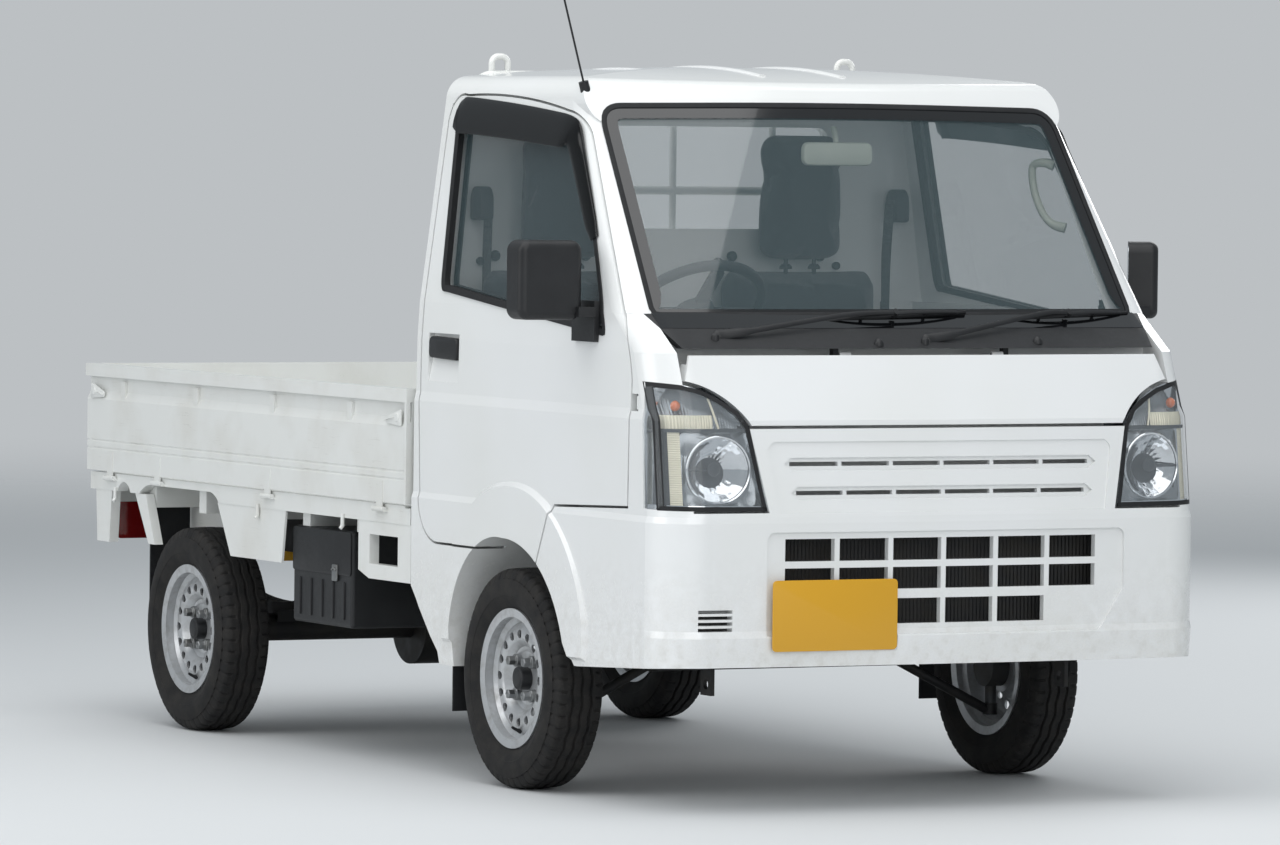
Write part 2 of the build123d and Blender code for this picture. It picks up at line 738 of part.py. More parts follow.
# Seats
seat_face = outline(
    SIDE,
    (nose(795), seat_box_z + seat_gap),
    (nose(785), 790),
    ((nose(795), 835), (nose(840), 838)),
    (nose(1165), 812),
    (nose(1240), 1220),
    ((nose(1265), 1250), (nose(1300), 1240)),
    (nose(1325), 1150),
    (nose(1290), seat_box_z + seat_gap),
)
head_face = outline(
    SIDE,
    (nose(1225), 1256),
    (nose(1232), 1560),
    ((nose(1262), 1584), (nose(1300), 1560)),
    (nose(1318), 1256),
)
seat_w, head_w = 460, 238
seats = []
for seat_x in (-375, 285):
    seat = along_x(seat_face, seat_x - seat_w / 2, seat_x + seat_w / 2)
    seat += along_x(head_face, seat_x - head_w / 2, seat_x + head_w / 2)
    for stem_x in (seat_x - 40, seat_x + 40):
        seat += rod(6, (stem_x, nose(1268), 1225), (stem_x, nose(1268), 1275))
    seats.append(seat)
nodes["seats"] = seats[0] + seats[1]

# Bed: deck with its side rails and cross sills
rail_in = deck_x - 30
deck_y1 = gate_hinge_y - 8
rail_face = outline(
    SIDE,
    (bed_front_y, deck_edge_z),
    (bed_front_y, deck_z),
    (deck_y1, deck_z),
    (deck_y1, deck_edge_z),
    (rear_axle_y + 440, deck_edge_z),
    ((rear_axle_y + 395, 630), (rear_axle_y + 355, deck_edge_z)),
    (rear_axle_y + 300, deck_edge_z),
    ((rear_axle_y + 245, 628), (rear_axle_y + 200, 630)),
    (rear_axle_y - 150, 630),
    ((rear_axle_y - 190, 622), (rear_axle_y - 215, deck_edge_z)),
)
deck = block(-deck_x, deck_x, bed_front_y, deck_y1, deck_z - deck_thick, deck_z)
deck += both(along_x(rail_face, rail_in, deck_x))
# the head board stands in a step at the front of the deck
deck -= block(-deck_x - 1, deck_x + 1, bed_front_y - 1, bed_front_y + bed_panel, deck_z - board_step, deck_z + 1)
sill_pitch = (deck_y1 - bed_front_y - 50) / 6
for sill in range(7):
    y = bed_front_y + 25 + sill * sill_pitch
    deck += block(-rail_in, rail_in, y - 22, y + 22, deck_z - deck_thick - sill_deep, deck_z - deck_thick)

# Gate hinges: deck knuckles with a pin, gate knuckle between them
# columns: y of each side hinge, x of each tail hinge
side_hinges = (bed_front_y + 163, bed_front_y + 830, rear_y - 472.5, rear_y - 159.5)
tail_hinges = (-560, 0, 560)
knuckle_w, knuckle_gap = 34, 1


def hinge_pair(strap):
    # built at the origin along Y, the gate above and the deck towards -X
    gate_knuckle = Plane(origin=(0, 0, 0), z_dir=(0, 1, 0)) * (Cylinder(hinge_radius, knuckle_w) - Cylinder(pin_radius + running_gap, knuckle_w))
    gate_part = gate_knuckle + block(-4, -0.5, -knuckle_w / 2, knuckle_w / 2, 4, strap)
    ends = knuckle_w / 2 + knuckle_gap
    pin = Plane(origin=(0, 0, 0), z_dir=(0, 1, 0)) * Cylinder(pin_radius, 2 * ends + 28)
    deck_part = pin
    for side in (-1, 1):
        y0, y1 = sorted((side * ends, side * (ends + 14)))
        knuckle = Plane(origin=(0, (y0 + y1) / 2, 0), z_dir=(0, 1, 0)) * Cylinder(hinge_radius, 14)
        deck_part += knuckle + block(deck_x - gate_hinge_x - 1, 0, y0, y1, -hinge_radius, 0)
    return gate_part, deck_part


gate_part, deck_part = hinge_pair(70)
rail_low, band_low, panel_high = gate_top_z - rail_deep, gate_top_z - 71, gate_top_z - 94
rail_stand, band_deep = 6, 10


def gate_profile(plane, face):
    # boxed rail, set-back band, sloping shoulder and a flat panel with two pressed lines
    points = [(face + rail_stand, gate_top_z), (face + rail_stand, rail_low), (face - band_deep, rail_low)]
    points += [(face - band_deep, band_low), (face, panel_high)]
    for line in (gate_bottom_z + 80, gate_bottom_z + 60):
        points += [(face, line + 4), (face - 3, line), (face, line - 4)]
    points += [(face, gate_bottom_z), (face - gate_thick, gate_bottom_z), (face - gate_thick, gate_top_z)]
    return outline(plane, *points)


side_gate = along_y(gate_profile(FRONT, gate_x), bed_front_y + 2, rear_y - 4)
side_gate += block(gate_x - 4, gate_x + rail_stand, bed_front_y + 2, bed_front_y + 14, gate_bottom_z, rail_low)
for y in (rear_y - 235.5, rear_y - 708.5, bed_front_y + 812, bed_front_y + 348):
    side_gate += block(gate_x - band_deep - 1, gate_x - 2, y - 14, y + 14, rail_low - 56, rail_low - 10)
for y in side_hinges:
    place = Pos(gate_hinge_x, y, gate_hinge_z)
    side_gate += place * gate_part
    deck += both(place * deck_part)
gate_half = gate_x - gate_thick - 5
tailgate = along_x(gate_profile(SIDE, gate_y), -gate_half, gate_half)
for x in (-420, 0, 420):
    tailgate += block(x - 14, x + 14, gate_y - band_deep - 1, gate_y - 2, rail_low - 56, rail_low - 10)
turn = Rotation(0, 0, 90)
for x in tail_hinges:
    place = Pos(x, gate_hinge_y, gate_hinge_z) * turn
    tailgate += place * gate_part
    deck += place * deck_part
nodes["side_gate_left"] = side_gate
nodes["side_gate_right"] = mirror(side_gate, Plane.YZ)
nodes["tailgate"] = tailgate
# inner fender panels with a pressed field, and rope pegs below the rails
fender_x, fender_y = 563, rear_axle_y + 185
fender = block(fender_x, fender_x + 4, fender_y - 245, fender_y + 245, deck_z - 180, deck_z - deck_thick)
field = Plane(origin=(fender_x + 4, fender_y, deck_z - 113), x_dir=(0, 1, 0), z_dir=(1, 0, 0)) * RectangleRounded(400, 90, 24)
fender += extrude(field, amount=3, dir=(1, 0, 0))
deck += both(fender)
peg_radius = 5
for y in (rear_y - 188.5, bed_front_y + 896, bed_front_y + 384):
    peg_x = deck_x + peg_radius - 1
    deck += both(rod(peg_radius, (peg_x, y, deck_edge_z + 10), (peg_x, y, deck_edge_z - 22)))
    deck += both(rod(peg_radius, (peg_x, y, deck_edge_z - 20), (peg_x + 6, y, deck_edge_z - 27)))
nodes["bed_floor"] = deck

# Head board with the guard frame behind the cab
bed_inner_x = gate_x - gate_thick - 5
head_board = block(-bed_inner_x, bed_inner_x, bed_front_y, bed_front_y + bed_panel, deck_z - board_step, gate_top_z)
guard_y = bed_front_y + bed_panel / 2
guard_tube, hook_rod = 15, 8
guard_x, guard_z = 560, 1708
hook_x, hook_half = 484, 22
guard = tube_path(guard_tube, 60, (-guard_x, guard_y, gate_top_z - 20), (-guard_x, guard_y, guard_z), (guard_x, guard_y, guard_z), (guard_x, guard_y, gate_top_z - 20))
for z in (1180, 1430):
    guard += rod(11, (-guard_x, guard_y, z), (guard_x, guard_y, z))
for x in (-280, 0, 280):
    guard += rod(9, (x, guard_y, gate_top_z - 5), (x, guard_y, guard_z))
hook_top = overall_height - hook_rod
for x in (-hook_x, hook_x):
    guard += tube_path(hook_rod, 18, (x - hook_half, guard_y, guard_z), (x - hook_half, guard_y, hook_top), (x + hook_half, guard_y, hook_top), (x + hook_half, guard_y, guard_z))
nodes["guard_frame"] = head_board + guard

# White brackets below the deck rails
bracket_x0, bracket_x1 = deck_x - 42, deck_x - 2
trapezoid = outline(
    SIDE,
    (rear_axle_y - 626, deck_edge_z),
    (rear_axle_y - 204, deck_edge_z),
    (rear_axle_y - 289, deck_edge_z - 133),
    (rear_axle_y - 604, deck_edge_z - 133),
)
support = outline(
    SIDE,
    (rear_axle_y + 262, deck_edge_z),
    (rear_axle_y + 332, deck_edge_z),
    (rear_axle_y + 242, deck_edge_z - 130),
    (rear_axle_y + 201, deck_edge_z - 130),
)
rear_post = outline(
    SIDE,
    (rear_y - 152.5, deck_edge_z),
    (rear_y - 47.5, deck_edge_z),
    (rear_y - 57.5, deck_edge_z - 138),
    (rear_y - 137.5, deck_edge_z - 138),
)
step_frame = outline(
    SIDE,
    (bed_front_y, deck_edge_z - 143),
    (bed_front_y, deck_edge_z),
    (bed_front_y + 302, deck_edge_z),
    (bed_front_y + 302, deck_edge_z - 124),
    (bed_front_y + 240, deck_edge_z - 143),
)
step_hole = outline(
    SIDE,
    (bed_front_y + 74, deck_edge_z - 106),
    (bed_front_y + 74, deck_edge_z - 33),
    (bed_front_y + 237, deck_edge_z - 33),
    (bed_front_y + 237, deck_edge_z - 106),
)
brackets = along_x(trapezoid, deck_x - 8, deck_x - 2)
brackets += along_x(support, deck_x - 28, deck_x - 4)
brackets += along_x(rear_post, deck_x - 28, deck_x - 2)
brackets += along_x(step_frame, deck_x - 28, deck_x - 2) - along_x(step_hole, deck_x - 60, deck_x)
nodes["bed_brackets"] = both(brackets)

# Ladder frame: low below the cab, stepping up below the bed
rail_x0, rail_x1 = 350, 405
spring_x = 440
spring_front_y, spring_rear_y = rear_axle_y - 470, rear_axle_y + 500
frame_low_z = 330
frame_face = outline(
    SIDE,
    (nose(150), frame_low_z),
    (nose(150), 430),
    (bed_front_y - 60, 430),
    (bed_front_y + 260, 560),
    (rear_y - 60, 560),
    (rear_y - 60, 460),
    (bed_front_y + 300, 460),
    (bed_front_y - 20, frame_low_z),
)
frame = both(along_x(frame_face, rail_x0, rail_x1))
# columns: y, low z, high z of each cross member
for y, low, high in ((nose(190), 345, 415), (nose(1368), 330, 362), (bed_front_y + 420, 480, 540), (rear_axle_y - 320, 480, 540), (rear_y - 90, 470, 550)):
    frame += block(-rail_x0, rail_x0, y - 30, y + 30, low, high)
for sill in (2, 5):
    y = bed_front_y + 25 + sill * sill_pitch
    frame += both(block(rail_x0, rail_x1, y - 20, y + 20, 560, mount_h))
for y, z in ((spring_front_y + 12, 441), (spring_rear_y - 12, 446)):
    frame += both(block(rail_x1 - 1, spring_x + 30, y - 14, y + 14, z + seat_gap, 500))
for y in (nose(500), nose(1120)):
    frame += both(block(rail_x0, rail_x1, y - 25, y + 25, 430, floor_z - floor_thick))
# tow eyes outside the rails
tow_x, tow_y, tow_z, tow_bore = 479, nose(285.5), 285, 12
tow = block(rail_x1 - 1, tow_x + 5, tow_y - 26, tow_y + 26, frame_low_z, frame_low_z + 12)
tow += block(tow_x - 5, tow_x + 5, tow_y - 26, tow_y + 26, tow_z - 26, frame_low_z + 12)
tow -= rod(tow_bore, (tow_x - 10, tow_y, tow_z), (tow_x + 10, tow_y, tow_z))
frame += both(tow)
nodes["chassis_frame"] = frame

engine_block = block(-230, 230, nose(890), nose(1330), 300, 640)
nodes["engine_block"] = engine_block
tank = block(70, rail_x1 - 5, bed_front_y + 470, bed_front_y + 880, 300, 460 - seat_gap)
side_box = block(-deck_x + 24, -470, bed_front_y + 384, bed_front_y + 736, 325, mount_h)
nodes["side_boxes"] = fillet(tank.edges(), 30) + fillet(side_box.edges(), 10)
flap = block(580, deck_x - 4, front_axle_y + 300, front_axle_y + 305, 165, sill_z)
flap_y = bed_front_y + 25 + 5 * sill_pitch + 22 + seat_gap
flap_rear = block(575, deck_x - 34, flap_y, flap_y + 6, 190, mount_h + 40)
nodes["mudflaps"] = both(flap_rear) + both(flap)
lamp_box = block(470, 660, rear_y - 50, rear_y - 12, 470, mount_h)
nodes["tail_lamps"] = both(fillet(lamp_box.edges().filter_by(Axis.Y), 12))

# Rear axle on leaf springs
spring_face = outline(
    SIDE,
    (spring_front_y, 425),
    ((rear_axle_y, axle_z + 45), (spring_rear_y, 430)),
    (spring_rear_y, 446),
    ((rear_axle_y, axle_z + 67), (spring_front_y, 441)),
)
rear_axle = rod(36, (-wheel_x + 90, rear_axle_y, axle_z), (wheel_x - 90, rear_axle_y, axle_z))
rear_axle += rod(105, (-70, rear_axle_y, axle_z), (70, rear_axle_y, axle_z))
rear_axle += both(rod(112, (wheel_x - 92.5, rear_axle_y, axle_z), (wheel_x - 30.5, rear_axle_y, axle_z)))
rear_axle += both(rod(hub_bore_radius - running_gap, (wheel_x - 60, rear_axle_y, axle_z), (wheel_x + 2, rear_axle_y, axle_z)))
rear_axle += both(along_x(spring_face, spring_x - 30, spring_x + 30))
rear_axle += both(block(spring_x - 28, spring_x + 28, rear_axle_y - 35, rear_axle_y + 35, axle_z + 15, axle_z + 50))
rear_axle += rod(28, (0, nose(1330), 400), (0, rear_axle_y, axle_z))
nodes["rear_axle"] = rear_axle - engine_block

# Front suspension: cross beam, lower arms and struts, with a joint at each end of the
# knuckle's pin
kingpin_low, kingpin_high = axle_z - 90, axle_z + 88
suspension = rod(26, (-360, front_axle_y, 300), (360, front_axle_y, 300))
for side in (-1, 1):
    pin_x = side * kingpin_x
    suspension += rod(12, (side * 340, front_axle_y, 290), (pin_x - side * 8, front_axle_y, kingpin_low - 17))
    suspension += rod(18, (pin_x, front_axle_y, kingpin_low - 28), (pin_x, front_axle_y, kingpin_low - running_gap))
    suspension += rod(24, (side * 500, front_axle_y, kingpin_high), (side * 500, front_axle_y, arch_top_z - 1))
    suspension += rod(13, (side * 500, front_axle_y, kingpin_high + 15), (pin_x, front_axle_y, kingpin_high + 15))
    suspension += rod(18, (pin_x, front_axle_y, kingpin_high + running_gap), (pin_x, front_axle_y, kingpin_high + 26))
nodes["front_suspension"] = suspension

# Steered knuckles
knuckle = rod(48, (wheel_x - 62, front_axle_y, axle_z), (wheel_x - 15.5, front_axle_y, axle_z))
knuckle += rod(hub_bore_radius - running_gap, (wheel_x - 20, front_axle_y, axle_z), (wheel_x + 2, front_axle_y, axle_z))
knuckle += rod(14, (kingpin_x, front_axle_y, kingpin_low), (kingpin_x, front_axle_y, kingpin_high))
nodes["knuckle_left"] = knuckle
nodes["knuckle_right"] = mirror(knuckle, Plane.YZ)

# Wheel, built about the X axis with its outer face towards +X
rim_half = rim_width / 2
WHEEL = Plane(origin=(0, 0, 0), x_dir=(1, 0, 0), z_dir=(0, -1, 0))
barrel = outline(
    WHEEL,
    (-rim_half, flange_radius),
    (5 - rim_half, flange_radius),
    (8 - rim_half, rim_radius),
    (22 - rim_half, rim_radius),
    (28 - rim_half, rim_radius - 14),
    (rim_half - 38, rim_radius - 14),
    (rim_half - 28, rim_radius),
    (rim_half - 8, rim_radius),
    (rim_half - 5, flange_radius),
    (rim_half, flange_radius),
    (rim_half - 3, rim_radius - 5),
    (rim_half - 25, rim_radius - 5),
    (rim_half - 35, rim_radius - 19),
    (25 - rim_half, rim_radius - 19),
    (19 - rim_half, rim_radius - 5),
    (3 - rim_half, rim_radius - 5),
)
disc = outline(
    WHEEL,
    (19, 136),
    (28, 132),
    (34, 120),
    ((37, 106), (32, 90)),
    (18, 76),
    (14, 64),
    (14, 0),
    (-12, 0),
    (-12, 62),
    (9, 68),
    (13, 80),
    ((31, 103), (28, 118)),
    (22, 128),
    (15, 131),
)
rim = revolve(barrel + disc, Axis.X)
hole_ring, hole_radius, hole_count = 106, 10.5, 16
for hole in range(hole_count):
    turn_x = Rotation(360 / hole_count * hole, 0, 0)
    rim -= turn_x * Pos(25, 0, hole_ring) * Rotation(0, 90, 0) * Cylinder(hole_radius, 60)
nut_ring = 57.15
for nut in range(4):
    turn_x = Rotation(90 * nut + 45, 0, 0)
    rim += turn_x * Pos(22, 0, nut_ring) * Rotation(0, 90, 0) * Cylinder(10, 18)
rim += Pos(26, 0, 0) * Rotation(0, 90, 0) * Cylinder(27, 26)
rim -= Pos(-8, 0, 0) * Rotation(0, 90, 0) * Cylinder(hub_bore_radius, 26)
tyre_half = tyre_width / 2
tyre_face = outline(
    WHEEL,
    (rim_half - 8.3, rim_radius + 0.3),
    (rim_half - 5.4, flange_radius + 1),
    ((tyre_half, 213), (60, 250)),
    ((56, 260), (46, tyre_radius - 1)),
    ((0, tyre_radius), (-46, tyre_radius - 1)),
    ((-56, 260), (-60, 250)),
    ((-tyre_half, 213), (5.4 - rim_half, flange_radius + 1)),
    (8.3 - rim_half, rim_radius + 0.3),
)
tyre = revolve(tyre_face, Axis.X)
for place_name, y in (("front", front_axle_y), ("rear", rear_axle_y)):
    for name, shape in (("tyre", tyre), ("rim", rim)):
        left = Pos(wheel_x, y, axle_z) * shape
        nodes[f"{name}_{place_name}_left"] = left
        nodes[f"{name}_{place_name}_right"] = mirror(left, Plane.YZ)

# Wipers: a spindle, an arm and a blade each
cowl_slope = (belt_z - hood_top_z) / (glass_low_back - hood_back)


def on_screen(x, z, stand):
    # the point this far in front of the windscreen
    y = screen_axis[1] + glass_rake * (z - screen_axis[2]) - rake_length * math.sqrt(screen_radius**2 - x**2)
    return (x, y - stand / rake_length, z + stand * glass_rake / rake_length)


wipers = None
# columns: x of the spindle and how far back it is, x of the arm's bend and of the blade's ends
for x0, back, bend_x, x1, x2 in ((-533, 149, -103, -228, 160), (8, 134, 420, 265, 622)):
    z0 = hood_top_z + (back - hood_back) * cowl_slope
    spindle = rod(9, (x0, nose(back), z0 - 25), (x0, nose(back), z0 + 14))
    bend = on_screen(bend_x, belt_z + 17, 24)
    low_end, high_end = on_screen(x1, belt_z - 20, 14), on_screen(x2, belt_z + 3, 14)
    middle = tuple((a + b) / 2 for a, b in zip(low_end, high_end))
    wiper = spindle + rod(6, (x0, nose(back), z0 + 8), bend) + rod(6, bend, middle) + rod(5, low_end, high_end)
    wipers = wiper if wipers is None else wipers + wiper
nodes["wipers"] = wipers - cab_envelope

# Aerial: its foot stands in a blind hole at the right front corner of the roof
aerial_foot = (95 - body_x, nose(650), shoulder_z + 30)
aerial_lean = (-0.285, -0.047, 0.957)


def on_aerial(distance):
    return tuple(f + distance * w for f, w in zip(aerial_foot, aerial_lean))


foot_radius, whip_radius, whip_length = 12, 2.5, 335
nodes["cab_roof"] -= rod(foot_radius + seat_gap, on_aerial(-16), on_aerial(60))
nodes["aerial"] = rod(foot_radius, on_aerial(seat_gap - 16), on_aerial(14)) + rod(whip_radius, on_aerial(0), on_aerial(whip_length))

for name, shape in nodes.items():
    export_step(shape, f"parts/{name}.step")
    solids = shape.solids()
    print(name, len(solids), [round(s.volume / 1e6, 3) for s in solids][:8])
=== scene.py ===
import math

import bmesh
import bpy
import numpy as np
from mathutils import Matrix, Vector


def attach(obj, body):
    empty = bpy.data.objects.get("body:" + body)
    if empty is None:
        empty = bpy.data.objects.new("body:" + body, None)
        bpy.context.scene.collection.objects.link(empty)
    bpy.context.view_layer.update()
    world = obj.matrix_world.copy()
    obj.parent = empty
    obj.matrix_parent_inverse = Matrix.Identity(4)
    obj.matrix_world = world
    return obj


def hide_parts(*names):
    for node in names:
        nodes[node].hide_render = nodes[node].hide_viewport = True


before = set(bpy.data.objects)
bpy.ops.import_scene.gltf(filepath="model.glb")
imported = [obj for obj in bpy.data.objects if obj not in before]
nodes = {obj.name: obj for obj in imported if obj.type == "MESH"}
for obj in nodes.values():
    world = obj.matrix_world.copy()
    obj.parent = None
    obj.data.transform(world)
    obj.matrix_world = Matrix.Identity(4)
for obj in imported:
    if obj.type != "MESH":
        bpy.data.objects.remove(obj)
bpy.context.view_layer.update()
scene = bpy.context.scene
print("stage: frame loaded")

# Places that the pieces share with the CAD, in metres. The front faces -Y.
body = {
    "front": -1.6975,
    "rear": 1.6975,
    "frontAxle": -0.842,
    "rearAxle": 1.063,
    "axleZ": 0.265,
    "wheelX": 0.6525,
    "beltZ": 1.154,
}


def nose(back):
    return body["front"] + back


# Material helpers; newMaterial enters each material in the table under its name
materials = {}


def linear(hexColour):
    channels = [int(hexColour[i:i + 2], 16) / 255 for i in (1, 3, 5)]
    return tuple(c / 12.92 if c <= 0.04045 else ((c + 0.055) / 1.055) ** 2.4 for c in channels) + (1.0,)


def addNode(tree, kind, settings=None, **inputs):
    node = tree.nodes.new(kind)
    for key, value in (settings or {}).items():
        setattr(node, key, value)
    for key, value in inputs.items():
        numbered = key[0] == "i" and key[1:].isdigit()
        socket = node.inputs[int(key[1:]) if numbered else key.replace("_", " ")]
        if isinstance(value, bpy.types.NodeSocket):
            tree.links.new(value, socket)
        else:
            socket.default_value = value
    return node


def newMaterial(name, colour, roughness, metallic=0.0, **sockets):
    material = bpy.data.materials.new(name)
    material.use_nodes = True
    shader = material.node_tree.nodes["Principled BSDF"]
    shader.inputs["Base Color"].default_value = linear(colour)
    shader.inputs["Roughness"].default_value = roughness
    shader.inputs["Metallic"].default_value = metallic
    for key, value in sockets.items():
        shader.inputs[key.replace("_", " ")].default_value = value
    materials[name] = material
    return material.node_tree, shader


def millimetres(tree, scale=(1, 1, 1)):
    # object coordinates in millimetres, so that pattern scales below are real sizes
    coords = addNode(tree, "ShaderNodeTexCoord")
    return addNode(tree, "ShaderNodeMapping", i0=coords.outputs["Object"],
                   Scale=tuple(1000 * s for s in scale)).outputs[0]


def noise(tree, place, size, detail=3.0, rough=0.5):
    # size is the width of one blotch in millimetres
    return addNode(tree, "ShaderNodeTexNoise", Vector=place, Scale=1 / size, Detail=detail,
                   Roughness=rough).outputs["Fac"]


def ramp(tree, value, low, high):
    # black up to low, white from high
    node = addNode(tree, "ShaderNodeValToRGB", Fac=value)
    node.color_ramp.elements[0].position = low
    node.color_ramp.elements[1].position = high
    return node.outputs["Color"]


def mix(tree, factor, first, second, kind="MIX"):
    node = addNode(tree, "ShaderNodeMix", {"data_type": "RGBA", "blend_type": kind})
    for socket, value in ((node.inputs[0], factor), (node.inputs[6], first), (node.inputs[7], second)):
        if isinstance(value, bpy.types.NodeSocket):
            tree.links.new(value, socket)
        else:
            socket.default_value = linear(value) if isinstance(value, str) else value
    return node.outputs[2]


def maths(tree, operation, first, second=0.0, clamp=False):
    return addNode(tree, "ShaderNodeMath", {"operation": operation, "use_clamp": clamp}, i0=first,
                   i1=second).outputs[0]


def times(tree, first, second):
    return maths(tree, "MULTIPLY", first, second)


def tint(tree, shader, colour):
    tree.links.new(colour, shader.inputs["Base Color"])


def bump(tree, shader, height, distance, strength=1.0):
    # distance in millimetres
    node = addNode(tree, "ShaderNodeBump", Height=height, Strength=strength, Distance=distance / 1000)
    tree.links.new(node.outputs["Normal"], shader.inputs["Normal"])
    return node


def between(tree, value, low, high):
    return addNode(tree, "ShaderNodeMapRange", {"clamp": True}, Value=value, i1=low, i2=high).outputs[0]


def roughen(tree, shader, value, low, high):
    rough = addNode(tree, "ShaderNodeMapRange", Value=value, i3=low, i4=high).outputs[0]
    tree.links.new(rough, shader.inputs["Roughness"])


def heightOf(tree):
    coords = addNode(tree, "ShaderNodeTexCoord")
    return addNode(tree, "ShaderNodeSeparateXYZ", Vector=coords.outputs["Object"]).outputs["Z"]


# Body paint: white baked enamel, sprayed, with faint orange peel; road dust towards the sills
look = {"white": "#e9eaea", "shadeWhite": "#e5e6e4", "dust": "#a8a294", "dustTop": 0.62, "peelSize": 2.2,
        "peelDeep": 0.010}


def paintMaterial(name, colour, shade, dust, dustTop, dustAmount, roughness):
    tree, shader = newMaterial(name, colour, roughness, Coat_Weight=0.55, Coat_Roughness=0.06,
                               Specular_IOR_Level=0.5)
    place = millimetres(tree)
    base = mix(tree, ramp(tree, noise(tree, place, 420, 2), 0.35, 0.7), colour, shade)
    low = between(tree, heightOf(tree), dustTop, 0.22)
    speck = ramp(tree, noise(tree, place, 26, 6, 0.65), 0.38, 0.78)
    amount = times(tree, times(tree, low, speck), dustAmount)
    tint(tree, shader, mix(tree, amount, base, dust))
    rough = addNode(tree, "ShaderNodeMapRange", Value=noise(tree, place, 60, 4), i3=roughness - 0.015,
                    i4=roughness + 0.02)
    tree.links.new(maths(tree, "ADD", rough.outputs[0], times(tree, amount, 0.45)),
                   shader.inputs["Roughness"])
    bump(tree, shader, noise(tree, place, look["peelSize"], 1), look["peelDeep"], 0.5)


paintMaterial("white_paint", look["white"], look["shadeWhite"], look["dust"], look["dustTop"], 0.55, 0.24)


# Bed paint: the same enamel on rolled sheet, rubbed by cargo: thin scratches and dull patches
def bedMaterial():
    tree, shader = newMaterial("bed_paint", "#e3e4e1", 0.34, Coat_Weight=0.3, Coat_Roughness=0.12)
    place = millimetres(tree)
    stretched = millimetres(tree, (1, 0.06, 1))
    scratch = ramp(tree, noise(tree, stretched, 5, 5, 0.7), 0.60, 0.66)
    patch = ramp(tree, noise(tree, place, 180, 4), 0.45, 0.72)
    base = mix(tree, times(tree, patch, 0.5), "#e3e4e1", "#cfcdc6")
    worn = mix(tree, times(tree, times(tree, scratch, patch), 0.35), base, "#9f9b92")
    tint(tree, shader, worn)
    roughen(tree, shader, patch, 0.28, 0.5)
    bump(tree, shader, noise(tree, place, 3, 1), 0.012, 0.5)


bedMaterial()


# Moulded polypropylene: fine spark-eroded grain, edges rubbed a little lighter
def plasticMaterial(name, colour, light, roughness, grain=0.9, deep=0.06):
    tree, shader = newMaterial(name, colour, roughness, Specular_IOR_Level=0.42)
    place = millimetres(tree)
    fade = ramp(tree, noise(tree, place, 90, 4), 0.4, 0.8)
    tint(tree, shader, mix(tree, times(tree, fade, 0.6), colour, light))
    roughen(tree, shader, noise(tree, place, 14, 3), roughness - 0.06, roughness + 0.08)
    cell = addNode(tree, "ShaderNodeTexVoronoi", Vector=place, Scale=1 / grain).outputs["Distance"]
    bump(tree, shader, cell, deep, 0.7)


plasticMaterial("black_plastic", "#1b1c1e", "#2a2b2d", 0.46)
plasticMaterial("dash_plastic", "#2e3033", "#3a3c40", 0.58, 1.4, 0.09)
plasticMaterial("rubber", "#17181a", "#26272a", 0.66, 1.6, 0.05)


# Tyre rubber: dull black, grey bloom and road dust in the tread
def tyreMaterial():
    tree, shader = newMaterial("tyre_rubber", "#1d1d1e", 0.78, Specular_IOR_Level=0.3)
    place = millimetres(tree)
    bloom = ramp(tree, noise(tree, place, 45, 5, 0.6), 0.35, 0.75)
    base = mix(tree, bloom, "#1b1b1c", "#2e2c2a")
    fine = ramp(tree, noise(tree, place, 3, 3), 0.55, 0.8)
    tint(tree, shader, mix(tree, times(tree, fine, 0.25), base, "#4a463f"))
    bump(tree, shader, noise(tree, place, 1.6, 4, 0.7), 0.12, 0.6)


tyreMaterial()


# Wheel enamel: silver paint on pressed steel, brake dust in the low places
def wheelMaterial():
    tree, shader = newMaterial("wheel_paint", "#b4b6b8", 0.34, 0.55, Coat_Weight=0.35, Coat_Roughness=0.15)
    place = millimetres(tree)
    grime = ramp(tree, noise(tree, place, 30, 6, 0.65), 0.45, 0.8)
    tint(tree, shader, mix(tree, times(tree, grime, 0.55), "#bcbec0", "#7d7871"))
    roughen(tree, shader, grime, 0.30, 0.55)
    bump(tree, shader, noise(tree, place, 2.5, 2), 0.03, 0.5)


wheelMaterial()


# Chassis black: brushed-on underseal over steel, with dry road dust
def chassisMaterial(name, colour, dust, roughness, metallic=0.0):
    tree, shader = newMaterial(name, colour, roughness, metallic)
    place = millimetres(tree)
    dusty = ramp(tree, noise(tree, place, 70, 6, 0.6), 0.42, 0.78)
    tint(tree, shader, mix(tree, times(tree, dusty, 0.5), colour, dust))
    roughen(tree, shader, dusty, roughness, min(1, roughness + 0.3))
    bump(tree, shader, noise(tree, place, 7, 5, 0.6), 0.25, 0.6)


chassisMaterial("chassis_black", "#141416", "#4b463d", 0.55)
chassisMaterial("cast_metal", "#4d4f50", "#5e574b", 0.5, 0.7)
chassisMaterial("bare_steel", "#8d8f90", "#6e675b", 0.36, 0.9)


# Glazing: float glass, thin, so the shader lets the view through and keeps the gloss
def glassMaterial(name, colour, alpha, ior=2.2, roughness=0.02):
    newMaterial(name, colour, roughness, IOR=ior, Alpha=alpha)
    materials[name].surface_render_method = "BLENDED"


glassMaterial("glass", "#5f7378", 0.20)
glassMaterial("lamp_cover", "#c9d0d4", 0.10, 1.9)
glassMaterial("smoked", "#08090a", 0.93, 1.40, 0.10)
newMaterial("frit", "#0b0c0e", 0.08, Coat_Weight=0.6, Coat_Roughness=0.02)


